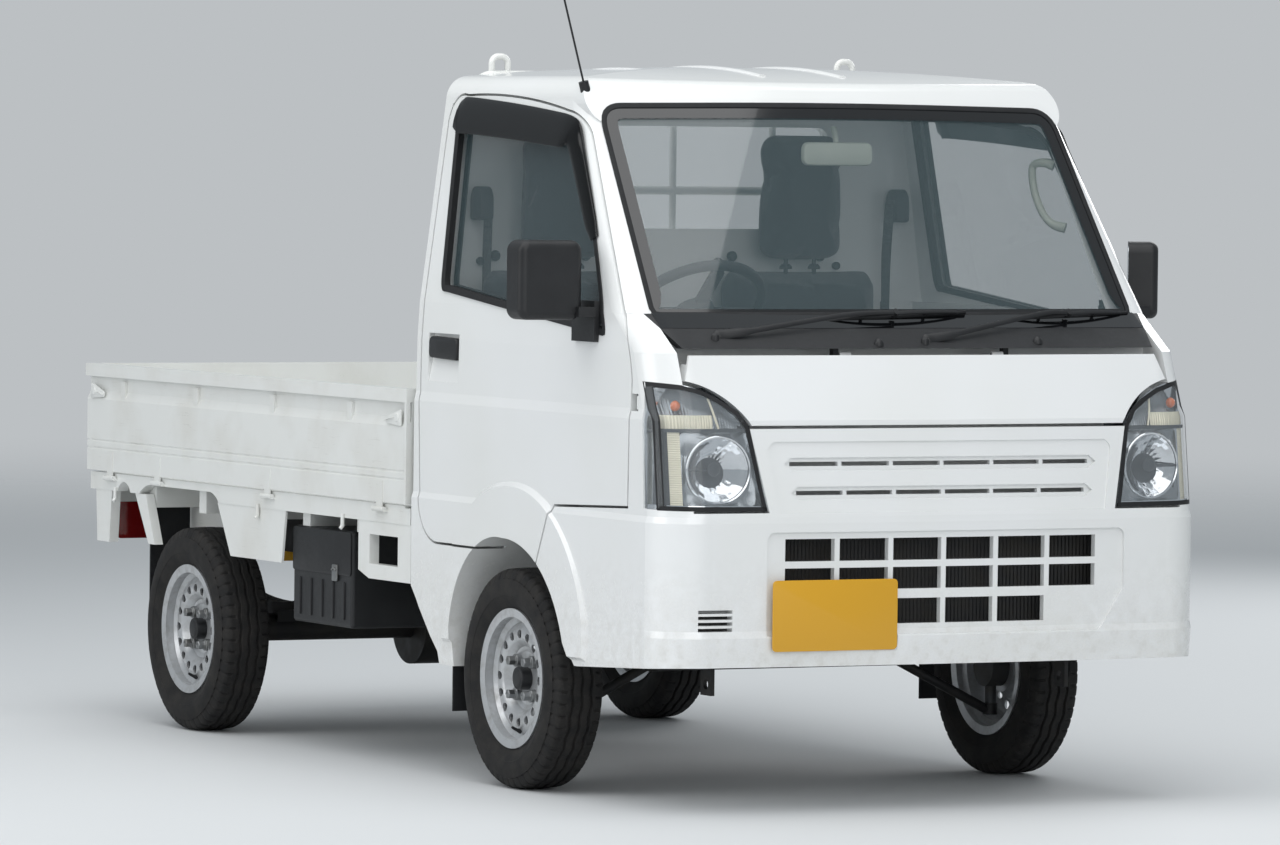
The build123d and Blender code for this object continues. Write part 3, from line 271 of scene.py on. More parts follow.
# Bright reflector: vapour-plated aluminium on a moulding
def chromeMaterial():
    tree, shader = newMaterial("lamp_body", "#d9dcdf", 0.10, 1.0)
    place = millimetres(tree)
    roughen(tree, shader, noise(tree, place, 12, 2), 0.06, 0.16)


chromeMaterial()
newMaterial("lamp_bezel", "#8f9498", 0.22, 0.85)
newMaterial("lamp_dark", "#3c4045", 0.35, 0.5)
newMaterial("lamp_cream", "#d9d3bd", 0.25, 0.25)
newMaterial("mirror", "#dfe3e6", 0.03, 1.0)
plasticMaterial("pale_trim", "#b9bfb4", "#c6cabf", 0.5, 1.0, 0.05)
newMaterial("tail_lens", "#7c0a0c", 0.12, Coat_Weight=1.0, Coat_Roughness=0.03)
newMaterial("amber", "#d0641a", 0.15, Coat_Weight=0.8)
newMaterial("clear_lens", "#d8dadb", 0.14, Coat_Weight=0.8)


# Seat cloth: woven dark grey polyester, plain weave of 1.6 mm yarns with lighter flecks
def clothMaterial(name, dark, light, yarn=1.6):
    tree, shader = newMaterial(name, dark, 0.88, Sheen_Weight=0.35, Sheen_Roughness=0.5)
    place = millimetres(tree)
    split = addNode(tree, "ShaderNodeSeparateXYZ", Vector=place)
    wave = 2 * math.pi / yarn
    across = maths(tree, "SINE", times(tree, split.outputs["X"], wave))
    along = maths(tree, "SINE", times(tree, maths(tree, "ADD", split.outputs["Y"], split.outputs["Z"]),
                                      wave))
    weave = times(tree, across, along)
    fleck = ramp(tree, noise(tree, place, 2.4, 2), 0.5, 0.62)
    tint(tree, shader, mix(tree, times(tree, fleck, 0.6), dark, light))
    bump(tree, shader, weave, 0.35, 0.8)


clothMaterial("seat_fabric", "#2c2f34", "#454950")
clothMaterial("belt_webbing", "#1b1c1f", "#2a2c30", 1.2)
newMaterial("plate_paint", "#d7a01e", 0.38, Coat_Weight=0.2)
print("stage: materials")

# Which material each CAD piece wears
finish = {
    "white_paint": "cab_sides cab_roof cab_back cab_floor hood grille_panel front_bumper "
                   "door_right door_left",
    "bed_paint": "side_gate_left side_gate_right tailgate bed_floor guard_frame bed_brackets",
    "black_plastic": "cowl_panel door_mirror_left door_mirror_right side_boxes wipers aerial",
    "glass": "cab_glass door_glass_left door_glass_right",
    "lamp_body": "headlamps",
    "lamp_cover": "headlamp_covers",
    "dash_plastic": "dashboard steering_wheel",
    "seat_fabric": "seats",
    "chassis_black": "chassis_frame rear_axle front_suspension",
    "cast_metal": "engine_block knuckle_left knuckle_right",
    "rubber": "mudflaps",
    "tail_lens": "tail_lamps",
    "tyre_rubber": "tyre_front_left tyre_front_right tyre_rear_left tyre_rear_right",
    "wheel_paint": "rim_front_left rim_front_right rim_rear_left rim_rear_right",
}
for materialName, members in finish.items():
    for member in members.split():
        mesh = nodes[member].data
        mesh.materials.clear()
        mesh.materials.append(materials[materialName])


# Mesh tools. A part is (points, faces): an (n, 3) array and a list of point numbers.
def gridFaces(rows, columns, closeRows=False, closeColumns=False):
    # quads between neighbours of a rows x columns grid of points, numbered row by row
    i, j = np.meshgrid(np.arange(rows if closeRows else rows - 1),
                       np.arange(columns if closeColumns else columns - 1), indexing="ij")
    nextI, nextJ = (i + 1) % rows, (j + 1) % columns
    corners = [i * columns + j, nextI * columns + j, nextI * columns + nextJ, i * columns + nextJ]
    return np.stack(corners, -1).reshape(-1, 4).tolist()


def gridPart(points, closeRows=False, closeColumns=False, capRows=False):
    rows, columns = points.shape[:2]
    faces = gridFaces(rows, columns, closeRows, closeColumns)
    if capRows:
        faces += [list(range(columns)), list(range((rows - 1) * columns, rows * columns))]
    return points.reshape(-1, 3), faces


def addPiece(name, parts, material, rider, sharp=35):
    points, faces, start = [], [], 0
    for partPoints, partFaces in parts:
        points.append(partPoints)
        faces += [[start + corner for corner in face] for face in partFaces]
        start += len(partPoints)
    mesh = bpy.data.meshes.new(name)
    mesh.from_pydata(np.concatenate(points).tolist(), [], faces)
    shape = bmesh.new()
    shape.from_mesh(mesh)
    bmesh.ops.recalc_face_normals(shape, faces=shape.faces)
    shape.to_mesh(mesh)
    shape.free()
    mesh.polygons.foreach_set("use_smooth", np.ones(len(mesh.polygons), dtype=bool))
    mesh.set_sharp_from_angle(angle=math.radians(sharp))
    mesh.materials.append(materials[material])
    piece = bpy.data.objects.new(name, mesh)
    scene.collection.objects.link(piece)
    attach(piece, rider)
    return piece


def mirrored(parts):
    return [(points * (-1, 1, 1), [face[::-1] for face in faces]) for points, faces in parts]


def addPair(name, parts, material, rider, sharp=35):
    # parts are the left side's, and the right side mirrors them
    for side, sideParts in (("left", parts), ("right", mirrored(parts))):
        addPiece(f"{name}_{side}", sideParts, material, f"{rider}_{side}", sharp)


def moved(parts, offset):
    return [(points + np.array(offset), faces) for points, faces in parts]


def lathe(profile, centre, axis="x", steps=48, flip=1):
    # a profile of (along, radius) turned about the axis through centre:
    # across = radius * (cos a, sin a) for a from 0 to one turn
    profile = np.array(profile, float)
    angle = np.linspace(0, 2 * math.pi, steps, endpoint=False)
    along = np.repeat(flip * profile[:, :1], steps, 1)
    first, second = profile[:, 1:] * np.cos(angle), profile[:, 1:] * np.sin(angle)
    order = {"x": (along, first, second), "y": (first, along, second), "z": (first, second, along)}[axis]
    return gridPart(np.stack(order, -1) + np.array(centre), closeColumns=True, capRows=True)


def tube(path, radius, sides=12, up=(0, 0, 1), squash=1.0):
    # a tube along path: centre + radius * (side * cos a + squash * top * sin a)
    path = np.array(path, float)
    tangent = np.gradient(path, axis=0)
    tangent /= np.linalg.norm(tangent, axis=1, keepdims=True)
    side = np.cross(tangent, np.array(up, float))
    side /= np.linalg.norm(side, axis=1, keepdims=True)
    top = np.cross(side, tangent)
    angle = np.linspace(0, 2 * math.pi, sides, endpoint=False)
    radius = np.broadcast_to(np.array(radius, float), (len(path),))[:, None, None]
    cosine, sine = np.cos(angle)[None, :, None], np.sin(angle)[None, :, None]
    ring = side[:, None, :] * cosine + squash * top[:, None, :] * sine
    return gridPart(path[:, None, :] + radius * ring, closeColumns=True, capRows=True)


def smoothPath(points, count=40):
    # Catmull-Rom curve through the points
    points = np.array(points, float)
    padded = np.vstack([2 * points[0] - points[1], points, 2 * points[-1] - points[-2]])
    at = np.linspace(0, len(points) - 1, count)
    k = np.minimum(at.astype(int), len(points) - 2)
    t = (at - k)[:, None]
    a, b, c, d = (padded[k + n] for n in range(4))
    return 0.5 * (2 * b + (c - a) * t + (2 * a - 5 * b + 4 * c - d) * t**2 + (3 * b - a - 3 * c + d) * t**3)


def roundedOutline(corners, radius, steps=5):
    # each corner p becomes the curve (1-t)^2 a + 2 t (1-t) p + t^2 b, with a and b on its sides
    p = np.array(corners, float)
    back, ahead = np.roll(p, 1, 0) - p, np.roll(p, -1, 0) - p
    lengths = np.linalg.norm(back, axis=1), np.linalg.norm(ahead, axis=1)
    radius = np.minimum(np.broadcast_to(radius, (len(p),)), 0.48 * np.minimum(*lengths))[:, None]
    a, b = p + back / lengths[0][:, None] * radius, p + ahead / lengths[1][:, None] * radius
    t = np.linspace(0, 1, steps)[None, :, None]
    curve = (1 - t) ** 2 * a[:, None] + 2 * t * (1 - t) * p[:, None] + t**2 * b[:, None]
    return curve.reshape(-1, 2)


def inset(outline, distance):
    # moves each point in along the mean of its sides' normals; the outline runs anticlockwise
    ahead = np.roll(outline, -1, 0) - outline
    ahead /= np.linalg.norm(ahead, axis=1, keepdims=True) + 1e-12
    normal = np.stack([-ahead[:, 1], ahead[:, 0]], -1)
    mean = normal + np.roll(normal, 1, 0)
    mean /= np.linalg.norm(mean, axis=1, keepdims=True) + 1e-12
    nextX, nextY = np.roll(outline, -1, 0).T
    area = 0.5 * np.sum(outline[:, 0] * nextY - nextX * outline[:, 1])
    return outline + mean * distance * (1 if area > 0 else -1)


def onPlane(outline, axis, at):
    flat = {"x": (1, 2), "y": (0, 2), "z": (0, 1)}[axis]
    points = np.empty((len(outline), 3))
    points[:, flat[0]], points[:, flat[1]] = outline[:, 0], outline[:, 1]
    points[:, "xyz".index(axis)] = at
    return points


def slab(outline, axis, low, high, bevel=0.0015):
    # an outline pushed along the axis, its two rims rounded in two steps
    rings = [(low, bevel), (low + 0.3 * bevel, 0.3 * bevel), (low + bevel, 0), (high - bevel, 0),
             (high - 0.3 * bevel, 0.3 * bevel), (high, bevel)]
    return gridPart(np.stack([onPlane(inset(outline, away), axis, at) for at, away in rings]),
                    closeColumns=True, capRows=True)


def ringSheet(outer, inner):
    # a band between two loops of as many points, each (n, 3)
    return gridPart(np.stack([outer, inner]), closeColumns=True)


def rectangle(x0, x1, z0, z1):
    return [(x0, z0), (x1, z0), (x1, z1), (x0, z1)]


# The windscreen is part of a cylinder of radius 8.3 m whose axis leans with the glass:
# y = axisY + rake (z - axisZ) - slope sqrt(radius^2 - x^2)
screen = {"radius": 8.3, "lowBack": 0.2375, "topBack": 0.5875, "topZ": 1.640}
rake = (screen["topBack"] - screen["lowBack"]) / (screen["topZ"] - body["beltZ"])
slope = math.hypot(1, rake)


def screenPoint(x, z, out=0.0):
    axisY = nose(screen["lowBack"]) + screen["radius"] / slope
    axisZ = body["beltZ"] - screen["radius"] * rake / slope
    y = axisY + rake * (z - axisZ) - slope * np.sqrt(screen["radius"] ** 2 - x**2)
    return np.stack([x, y - out / slope, z + out * rake / slope], -1)


# The cab below the belt, as in part.py: rows of height, front set back, half width, bow,
# corner width, corner depth. Between rows the surface is straight.
bodySections = np.array([
    (0.275, 0.060, 0.7215, 0.020, 0.120, 0.105),
    (0.342, 0.006, 0.7285, 0.020, 0.120, 0.105),
    (0.410, 0.000, 0.7295, 0.020, 0.120, 0.105),
    (0.426, 0.005, 0.7285, 0.020, 0.120, 0.105),
    (0.675, 0.003, 0.7295, 0.020, 0.120, 0.105),
    (0.690, 0.004, 0.7245, 0.020, 0.120, 0.105),
    (0.912, 0.0334, 0.7245, 0.020, 0.118, 0.105),
    (0.936, 0.0434, 0.7195, 0.020, 0.115, 0.104),
    (1.066, 0.0975, 0.7175, 0.022, 0.105, 0.100),
    (1.154, 0.2375, 0.712, 0.022, 0.090, 0.075),
])


def circleThrough(a, b, c):
    # centre and radius of the circle through three points
    d = 2 * (a[0] * (b[1] - c[1]) + b[0] * (c[1] - a[1]) + c[0] * (a[1] - b[1]))
    squares = [p[0] ** 2 + p[1] ** 2 for p in (a, b, c)]
    x = (squares[0] * (b[1] - c[1]) + squares[1] * (c[1] - a[1]) + squares[2] * (a[1] - b[1])) / d
    y = (squares[0] * (c[0] - b[0]) + squares[1] * (a[0] - c[0]) + squares[2] * (b[0] - a[0])) / d
    return x, y, math.hypot(a[0] - x, a[1] - y)


def planCurve(row, t):
    # t from 0 to 1 runs over the front to the corner, 1 to 2 round it, 2 to 3 back along the side
    _, back, half, bow, wide, deep = row
    front, arcX = nose(back), half - wide
    arcY = front + bow
    bowRadius = (arcX**2 + bow**2) / (2 * bow)
    x1 = np.clip(t, 0, 1) * arcX
    y1 = front + bowRadius - np.sqrt(bowRadius**2 - x1**2)
    a, b, c = (arcX, arcY), (arcX + 0.7 * wide, arcY + 0.3 * deep), (half, arcY + deep)
    cx, cy, radius = circleThrough(a, b, c)
    start, end = math.atan2(a[1] - cy, a[0] - cx), math.atan2(c[1] - cy, c[0] - cx)
    angle = start + np.clip(t - 1, 0, 1) * (end - start)
    x2, y2 = cx + radius * np.cos(angle), cy + radius * np.sin(angle)
    y3 = c[1] + np.clip(t - 2, 0, 1) * (-0.32 - c[1])
    x = np.where(t <= 1, x1, np.where(t <= 2, x2, half))
    y = np.where(t <= 1, y1, np.where(t <= 2, y2, y3))
    return np.stack([x, y], -1)


def bodyPoint(t, z, out=0.0):
    # the point of the left half's surface at plan place t and height z, moved out level
    t, z = np.broadcast_arrays(np.array(t, float), np.array(z, float))
    heights = bodySections[:, 0]
    k = np.clip(np.searchsorted(heights, z) - 1, 0, len(heights) - 2)
    part = ((z - heights[k]) / (heights[k + 1] - heights[k]))[..., None]

    def surface(place):
        curves = np.stack([planCurve(row, place) for row in bodySections])
        low = np.take_along_axis(curves, k[None, ..., None], 0)[0]
        high = np.take_along_axis(curves, k[None, ..., None] + 1, 0)[0]
        return low + part * (high - low)

    here = surface(t)
    along = surface(t + 0.004) - surface(t - 0.004)
    along /= np.linalg.norm(along, axis=-1, keepdims=True)
    here = here + out * np.stack([along[..., 1], -along[..., 0]], -1)
    return np.concatenate([here, z[..., None]], -1)


def frontPoint(x, z, out=0.0):
    # as bodyPoint, for a place given by x; t is found from the widths at that height
    x, z = np.broadcast_arrays(np.array(x, float), np.array(z, float))
    shape = x.shape
    x, z = x.ravel(), z.ravel()
    t = np.abs(x) / np.interp(z, bodySections[:, 0], bodySections[:, 2] - bodySections[:, 4])
    over = t > 1
    if over.any():
        trial = np.linspace(1, 2, 60)
        height = np.repeat(z[over][:, None], 60, 1)
        rounds = bodyPoint(np.repeat(trial[None], over.sum(), 0), height)[..., 0]
        t[over] = [np.interp(value, row, trial) for value, row in zip(np.abs(x[over]), rounds)]
    points = bodyPoint(t, z, out)
    points[:, 0] *= np.where(x < 0, -1, 1)
    return points.reshape(shape + (3,))


print("stage: tools")

# Tyres: dull black rubber, four ribs parted by three wavy grooves, slots across the shoulders.
# columns of the side: distance from the middle plane, radius
tyre = {"steps": 324, "halfTread": 0.048, "radius": 0.265, "grooveDeep": 0.0065, "slotDeep": 0.0045,
        "slots": 54}
tyreSide = [(0.0497, 0.1525), (0.0535, 0.1690), (0.0600, 0.1800), (0.0668, 0.1925), (0.0690, 0.1985),
            (0.0704, 0.1995), (0.0712, 0.2050), (0.0718, 0.2140), (0.0708, 0.2240), (0.0685, 0.2330),
            (0.0668, 0.2385), (0.0640, 0.2400), (0.0612, 0.2470), (0.0590, 0.2540), (0.0560, 0.2592),
            (0.0520, 0.2618)]


def tyrePart(centre):
    across = np.linspace(tyre["halfTread"], -tyre["halfTread"], 61)
    tread = np.stack([across, tyre["radius"] - 0.0018 * (across / tyre["halfTread"]) ** 2], -1)
    side = np.array(tyreSide)
    profile = np.vstack([side, tread, side[::-1] * (-1, 1)])
    angle = np.linspace(0, 2 * math.pi, tyre["steps"], endpoint=False)
    x = np.repeat(profile[:, :1], tyre["steps"], 1)
    radius = np.repeat(profile[:, 1:], tyre["steps"], 1)
    # groove depth = deep * clamp((halfWide - |x - middle|) / wall), the middle waving with the angle
    wave = 0.0022 * (2 / math.pi) * np.arcsin(np.sin(angle * tyre["slots"] / 2))[None, :]
    cut = np.zeros_like(radius)
    onTread = np.abs(x) < 0.0475
    for middle in (-0.0245, 0.0, 0.0245):
        cut = np.maximum(cut, np.clip((0.0038 - np.abs(x - middle - wave)) / 0.0012, 0, 1))
    shift = np.where(x > 0, 0.0, 0.5)
    phase = np.abs((angle[None, :] * tyre["slots"] / (2 * math.pi) + shift) % 1 - 0.5)
    shoulder = np.clip((np.abs(x) - 0.0355) / 0.002, 0, 1) * (radius > 0.2395)
    slot = np.clip((phase - 0.34) / 0.05, 0, 1) * shoulder
    radius = radius - tyre["grooveDeep"] * cut * onTread - tyre["slotDeep"] * slot
    points = np.stack([x, radius * np.cos(angle), radius * np.sin(angle)], -1) + np.array(centre)
    return gridPart(points, closeRows=True, closeColumns=True)


# Wheel trims: zinc-plated nuts with cone seats, a black moulded centre cap and a valve
nutCircle = 0.1143
seatProfile = [(0.0125, 0.0155), (0.0272, 0.0155), (0.0290, 0.0140)]
valvePath = np.array([(0.030, 0, -0.128), (0.041, 0, -0.124), (0.054, 0, -0.117)])
valveRadius = [0.006, 0.006, 0.005, 0.004, 0.0038, 0.0038, 0.0036, 0.003]
nutProfile = [(0.028, 0.0128), (0.030, 0.0128), (0.0315, 0.0118), (0.0462, 0.0118), (0.0478, 0.0100),
              (0.0478, 0.0060), (0.0465, 0.0055)]
capProfile = [(0.013, 0.0285), (0.036, 0.0285), (0.0405, 0.0272), (0.0418, 0.0240), (0.0412, 0.0225),
              (0.0430, 0.0205), (0.0442, 0.0120), (0.0446, 0.0020)]
for place, y in (("front", body["frontAxle"]), ("rear", body["rearAxle"])):
    for side, sign in (("left", 1), ("right", -1)):
        centre = np.array((sign * body["wheelX"], y, body["axleZ"]))
        wheelBody = f"wheel_{place}_{side}"
        piece = addPiece(f"tread_{place}_{side}", [tyrePart(centre)], "tyre_rubber", wheelBody, 28)
        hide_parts(f"tyre_{place}_{side}")
        nuts = []
        for quarter in range(4):
            angle = math.radians(90 * quarter + 45)
            at = centre + 0.5 * nutCircle * np.array((0, math.sin(angle), math.cos(angle)))
            nuts.append(lathe(nutProfile, at, steps=6, flip=sign))
            nuts.append(lathe(seatProfile, at, steps=24, flip=sign))
        addPiece(f"nuts_{place}_{side}", nuts, "bare_steel", wheelBody, 25)
        cap = [lathe(capProfile, centre, steps=40, flip=sign)]
        addPiece(f"cap_{place}_{side}", cap, "black_plastic", wheelBody)
        valve = [tube(smoothPath(centre + valvePath * (sign, 1, 1), 8), valveRadius)]
        addPiece(f"valve_{place}_{side}", valve, "rubber", wheelBody)

print("stage: wheels")

# Glazing round the windscreen: a fired black band on the glass and a rubber moulding outside it
def resampled(outline, count):
    loop = np.vstack([outline, outline[:1]])
    along = np.concatenate([[0], np.cumsum(np.linalg.norm(np.diff(loop, axis=0), axis=1))])
    at = np.linspace(0, along[-1], count, endpoint=False)
    return np.stack([np.interp(at, along, loop[:, 0]), np.interp(at, along, loop[:, 1])], -1)


screenCorners = [(-0.640, 1.1545), (0.640, 1.1545), (0.610, 1.6325), (0.0, 1.6405), (-0.610, 1.6325)]
screenOutline = resampled(roundedOutline(screenCorners, [0.012, 0.012, 0.05, 0.3, 0.05], 10), 300)
bandWidth = np.interp(screenOutline[:, 1], [1.1545, 1.158, 1.20, 1.60, 1.63],
                      [0.010, 0.016, 0.030, 0.030, 0.026])[:, None]


def onScreen(outline, out):
    return screenPoint(outline[:, 0], outline[:, 1], out)


frit = [ringSheet(onScreen(screenOutline, 0.0005), onScreen(inset(screenOutline, bandWidth), 0.0005)),
        ringSheet(onScreen(screenOutline, -0.0065), onScreen(inset(screenOutline, bandWidth), -0.0065))]
acrossLow = np.linspace(-0.650, 0.650, 90)
bandHeights = (1.122, 1.130, 1.140, 1.150, 1.156)
lowBand = np.stack([frontPoint(acrossLow, np.full(90, z), 0.0012) for z in bandHeights])
frit.append(gridPart(lowBand))
addPiece("screen_band", frit, "frit", "chassis")
mouldingProfile = ((-0.0105, 0.0004), (-0.0095, 0.0032), (-0.003, 0.0040), (0.0015, 0.0030),
                   (0.0022, 0.0006))
moulding = [onScreen(inset(screenOutline, away), out) for away, out in mouldingProfile]
addPiece("screen_moulding", [gridPart(np.stack(moulding), closeColumns=True)], "rubber", "chassis")

# Wipers: pressed arms on capped spindles, blades of rubber under a bowed steel back.
outward = np.array((0, -1 / slope, rake / slope))
# The cowl climbs from its lower row of bodySections; its face looks up and forward
cowl = {"z": 1.066, "back": 0.0975, "climb": 0.088 / 0.14, "normal": (0, -0.53, 0.85),
        "along": (0, -0.85, 0.53)}


def onCowl(x, back, out=0.0):
    z = cowl["z"] + (back - cowl["back"]) * cowl["climb"]
    return frontPoint(x, z) + out * np.array(cowl["normal"])


def bladeLine(x, rise=0.0):
    # the wiped line climbs 21 mm for each 0.36 m towards the left
    return screenPoint(x, 1.130 + 0.058 * (x - bladeStart), rise)


wiperParts, bladeParts = [], []
# columns: spindle x and back, knee x, blade ends x
wiperPlaces = ((-0.533, 0.149, -0.150, -0.236, 0.172), (0.008, 0.134, 0.375, 0.262, 0.634))
for spindleX, back, kneeX, bladeStart, bladeEnd in wiperPlaces:
    spindle = onCowl(spindleX, back)
    tipX = 0.5 * (bladeStart + bladeEnd)
    wiperParts.append(lathe([(-0.012, 0.0095), (0.006, 0.0095), (0.0095, 0.008), (0.0115, 0.005),
                             (0.012, 0.001)], spindle, "z", 28))
    knee, tip = bladeLine(kneeX, 0.034), bladeLine(tipX, 0.030)
    head = spindle + 0.24 * (knee - spindle) + 0.008 * outward
    heel = spindle + (0.004, 0.006, 0.004)
    ankle = spindle + 0.06 * (knee - spindle) + (0, 0.006, 0.006)
    arm = smoothPath([heel, ankle, head, 0.5 * (head + knee) + 0.002 * outward, knee, tip], 70)
    share = np.linspace(0, 1, 70)
    width = np.interp(share, [0, 0.05, 0.14, 0.36, 0.42, 0.8, 1],
                      [0.0085, 0.0095, 0.0150, 0.0120, 0.0080, 0.0065, 0.0055])
    wiperParts.append(tube(arm, width, 10, cowl["along"], 0.40))
    x = np.linspace(bladeStart, bladeEnd, 50)
    bow = 0.007 + 0.017 * (1 - (2 * np.linspace(0, 1, 50) - 1) ** 2)
    bladeParts.append(tube(bladeLine(x, 0.0052), 0.0046, 8, outward, 1.5))
    backWidth = np.interp(np.linspace(0, 1, 44), [0, 0.5, 1], [0.0042, 0.0070, 0.0042])
    wiperParts.append(tube(bladeLine(x, bow)[3:47], backWidth, 8, outward, 0.6))
    for k in (3, 14, 35, 46):
        wiperParts.append(tube([bladeLine(x[k], rise) for rise in (0.004, 0.5 * bow[k], bow[k])], 0.0045, 8,
                               (1, 0, 0)))
    wiperParts.append(tube([bladeLine(tipX, rise) for rise in (0.016, 0.023, 0.033)], 0.0085, 10, (1, 0, 0),
                           0.8))
wiperPiece = addPiece("wiper_arms", wiperParts, "black_plastic", "chassis", 40)
addPiece("wiper_blades", bladeParts, "rubber", "chassis", 40)
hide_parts("wipers")
nozzles = []
for x, back in ((-0.118, 0.130), (0.318, 0.136)):
    at = onCowl(x, back)
    nozzles.append(lathe([(-0.006, 0.012), (0.002, 0.012), (0.006, 0.0095), (0.0115, 0.0062),
                          (0.013, 0.003)], at, "z", 20))
addPiece("washer_nozzles", nozzles, "black_plastic", "chassis")
print("stage: windscreen")

# Headlamps: a dark housing seen through the clear cover, a fluted bowl with a bulb shield in a
# bright rim, a narrow ribbed strip beside it, and the turn lamp's chamber above
lampRim = [(0.468, 0.703), (0.478, 0.750), (0.504, 0.897), (0.530, 0.935), (0.572, 0.962), (0.612, 0.982),
           (0.660, 0.994), (0.705, 0.999)]


def lampPlace(x, z, deep):
    # a place in the left lamp: deep metres behind the cover's skin
    return frontPoint(x, z, -0.0035) + np.multiply.outer(deep, (0.0, 1.0, 0.0))


def rectangleGrid(x0, x1, z0, z1, columns, rows, deep):
    x, z = np.meshgrid(np.linspace(x0, x1, columns), np.linspace(z0, z1, rows))
    return gridPart(lampPlace(x, z, deep(x, z)))


# The bowl: a paraboloid, depth = deep (1 - (r/R)^2), its skin stepped into 22 flutes
bowl = {"x": 0.581, "z": 0.798, "radius": 0.0745, "deep": 0.048, "tilt": 0.12}
bowlCentre = np.array((bowl["x"], frontPoint(bowl["x"], bowl["z"])[1] + 0.016, bowl["z"]))


def bowlRing(radius, deep, angle):
    return bowlCentre + np.stack([radius * np.cos(angle), deep + bowl["tilt"] * radius * np.cos(angle),
                                  radius * np.sin(angle)], -1)


angle = np.linspace(0, 2 * math.pi, 176, endpoint=False)[None, :]
share = np.linspace(0.20, 1.0, 22)[:, None]
facet = 0.0011 * np.abs(np.sin(11 * angle)) * share * (0.6 + 0.4 * np.sign(np.sin(share * 22)))
bowlPart = gridPart(bowlRing(bowl["radius"] * share, bowl["deep"] * (1 - share**2) - facet, angle),
                    closeColumns=True)
rimShares = np.array([(0.99, 0.001), (1.00, -0.003), (1.045, -0.0045), (1.07, -0.002),
                      (1.075, 0.004)])[:, :, None]
rimPart = gridPart(bowlRing(bowl["radius"] * rimShares[:, 0], rimShares[:, 1], angle), closeColumns=True)

# Bezel: from the ring out to a rounded rectangle, dished back, then a wall to the housing
bezelLoop = resampled(roundedOutline(rectangle(0.487, 0.669, 0.713, 0.886), 0.018, 6), 176)
centred = bezelLoop - (bowl["x"], bowl["z"])
order = np.argsort(np.mod(np.arctan2(centred[:, 1], centred[:, 0]), 2 * math.pi))
bezelLoop = bezelLoop[order]
outerRing = lampPlace(bezelLoop[:, 0], bezelLoop[:, 1], np.full(176, 0.017))
innerRing = bowlRing(1.075 * bowl["radius"], 0.004, angle[0])
bezelPart = gridPart(np.stack([innerRing, innerRing + 0.4 * (outerRing - innerRing) + (0, 0.004, 0),
                               outerRing, outerRing + (0, 0.020, 0)]), closeColumns=True)

# Ribbed strip of cream reflector: depth = 10 mm + 1.2 mm |sin(pi z / 5.2 mm)|
strip = rectangleGrid(0.670, 0.6935, 0.712, 0.888, 5, 240,
                      lambda x, z: 0.010 + 0.0012 * np.abs(np.sin(math.pi * z / 0.0052)))
# Housing behind all, the shelf between the two chambers and the turn chamber's fluted back
housing = rectangleGrid(0.476, 0.7155, 0.706, 0.985, 40, 40, lambda x, z: 0.050 + 0 * x)
shelf = rectangleGrid(0.500, 0.712, 0.885, 0.893, 60, 4, lambda x, z: 0.006 + 0 * x)
flutes = rectangleGrid(0.520, 0.708, 0.893, 0.985, 150, 8,
                       lambda x, z: 0.026 + 0.0022 * np.abs(np.sin(math.pi * x / 0.0065)) + 0.25 * (z - 0.893))
cream = rectangleGrid(0.588, 0.706, 0.893, 0.924, 120, 4,
                      lambda x, z: 0.013 + 0.0015 * np.abs(np.sin(math.pi * x / 0.0065)))
shade = [lathe([(-0.010, 0.0168), (-0.012, 0.0150), (-0.013, 0.010), (-0.0132, 0.001)],
               bowlCentre + (0.004, 0.024, 0.001), "y", 28),
         tube([bowlCentre + (0.012, 0.020, 0.0), bowlCentre + (0.045, 0.020, 0.0),
               bowlCentre + (0.072, 0.010, 0.0)], 0.0032, 8)]
bulb = lathe([(0.000, 0.004), (-0.005, 0.010), (-0.011, 0.0125), (-0.017, 0.0105), (-0.021, 0.006),
              (-0.0225, 0.001)], lampPlace(0.668, 0.945, 0.030), "y", 24)
slant = tube(smoothPath([lampPlace(0.577, 0.893, 0.008), lampPlace(0.585, 0.925, 0.008),
                         lampPlace(0.594, 0.968, 0.008)], 12), 0.0028, 8)

# Gasket: a dark band on the inside of the cover along its rim
upperRim = np.array(lampRim)
lampSide = 0.7175 - 0.0015
loop = np.vstack([upperRim, [(lampSide, 1.0)], [(lampSide, 0.705)]])
gasketOuter = resampled(loop, 400)
gasketInner = inset(gasketOuter, 0.0105)
gasket = ringSheet(frontPoint(gasketOuter[:, 0], gasketOuter[:, 1], 0.0003),
                   frontPoint(gasketInner[:, 0], gasketInner[:, 1], 0.0003))

lampSets = {
    "lamp_bowls": ([bowlPart, rimPart], "lamp_body", "lamp_body", 30),
    "lamp_bezels": ([bezelPart], "lamp_bezel", "lamp_body", 30),
    "lamp_housings": ([housing, shelf], "lamp_dark", "lamp_body", 30),
    "lamp_strips": ([strip, cream, slant], "lamp_cream", "lamp_body", 50),
    "lamp_flutes": ([flutes], "lamp_bezel", "lamp_body", 50),
    "bulb_shields": (shade, "lamp_dark", "lamp_body", 30),
    "turn_bulbs": ([bulb], "amber", "lamp_body", 30),
    "lamp_gaskets": ([gasket], "rubber", "rubber", 30),
}
for name, (parts, material, slotName, sharp) in lampSets.items():
    addPiece(name, parts + mirrored(parts), material, "chassis", sharp)
print("stage: headlamps")

# Seats: cloth over foam. Each cushion starts as a rounded block a little under size and is
# blown out by a short cloth run. The head rests' stems are laid on after it.
seat = {"centres": (-0.375, 0.285), "width": 0.460, "headWidth": 0.238, "cap": 0.013}
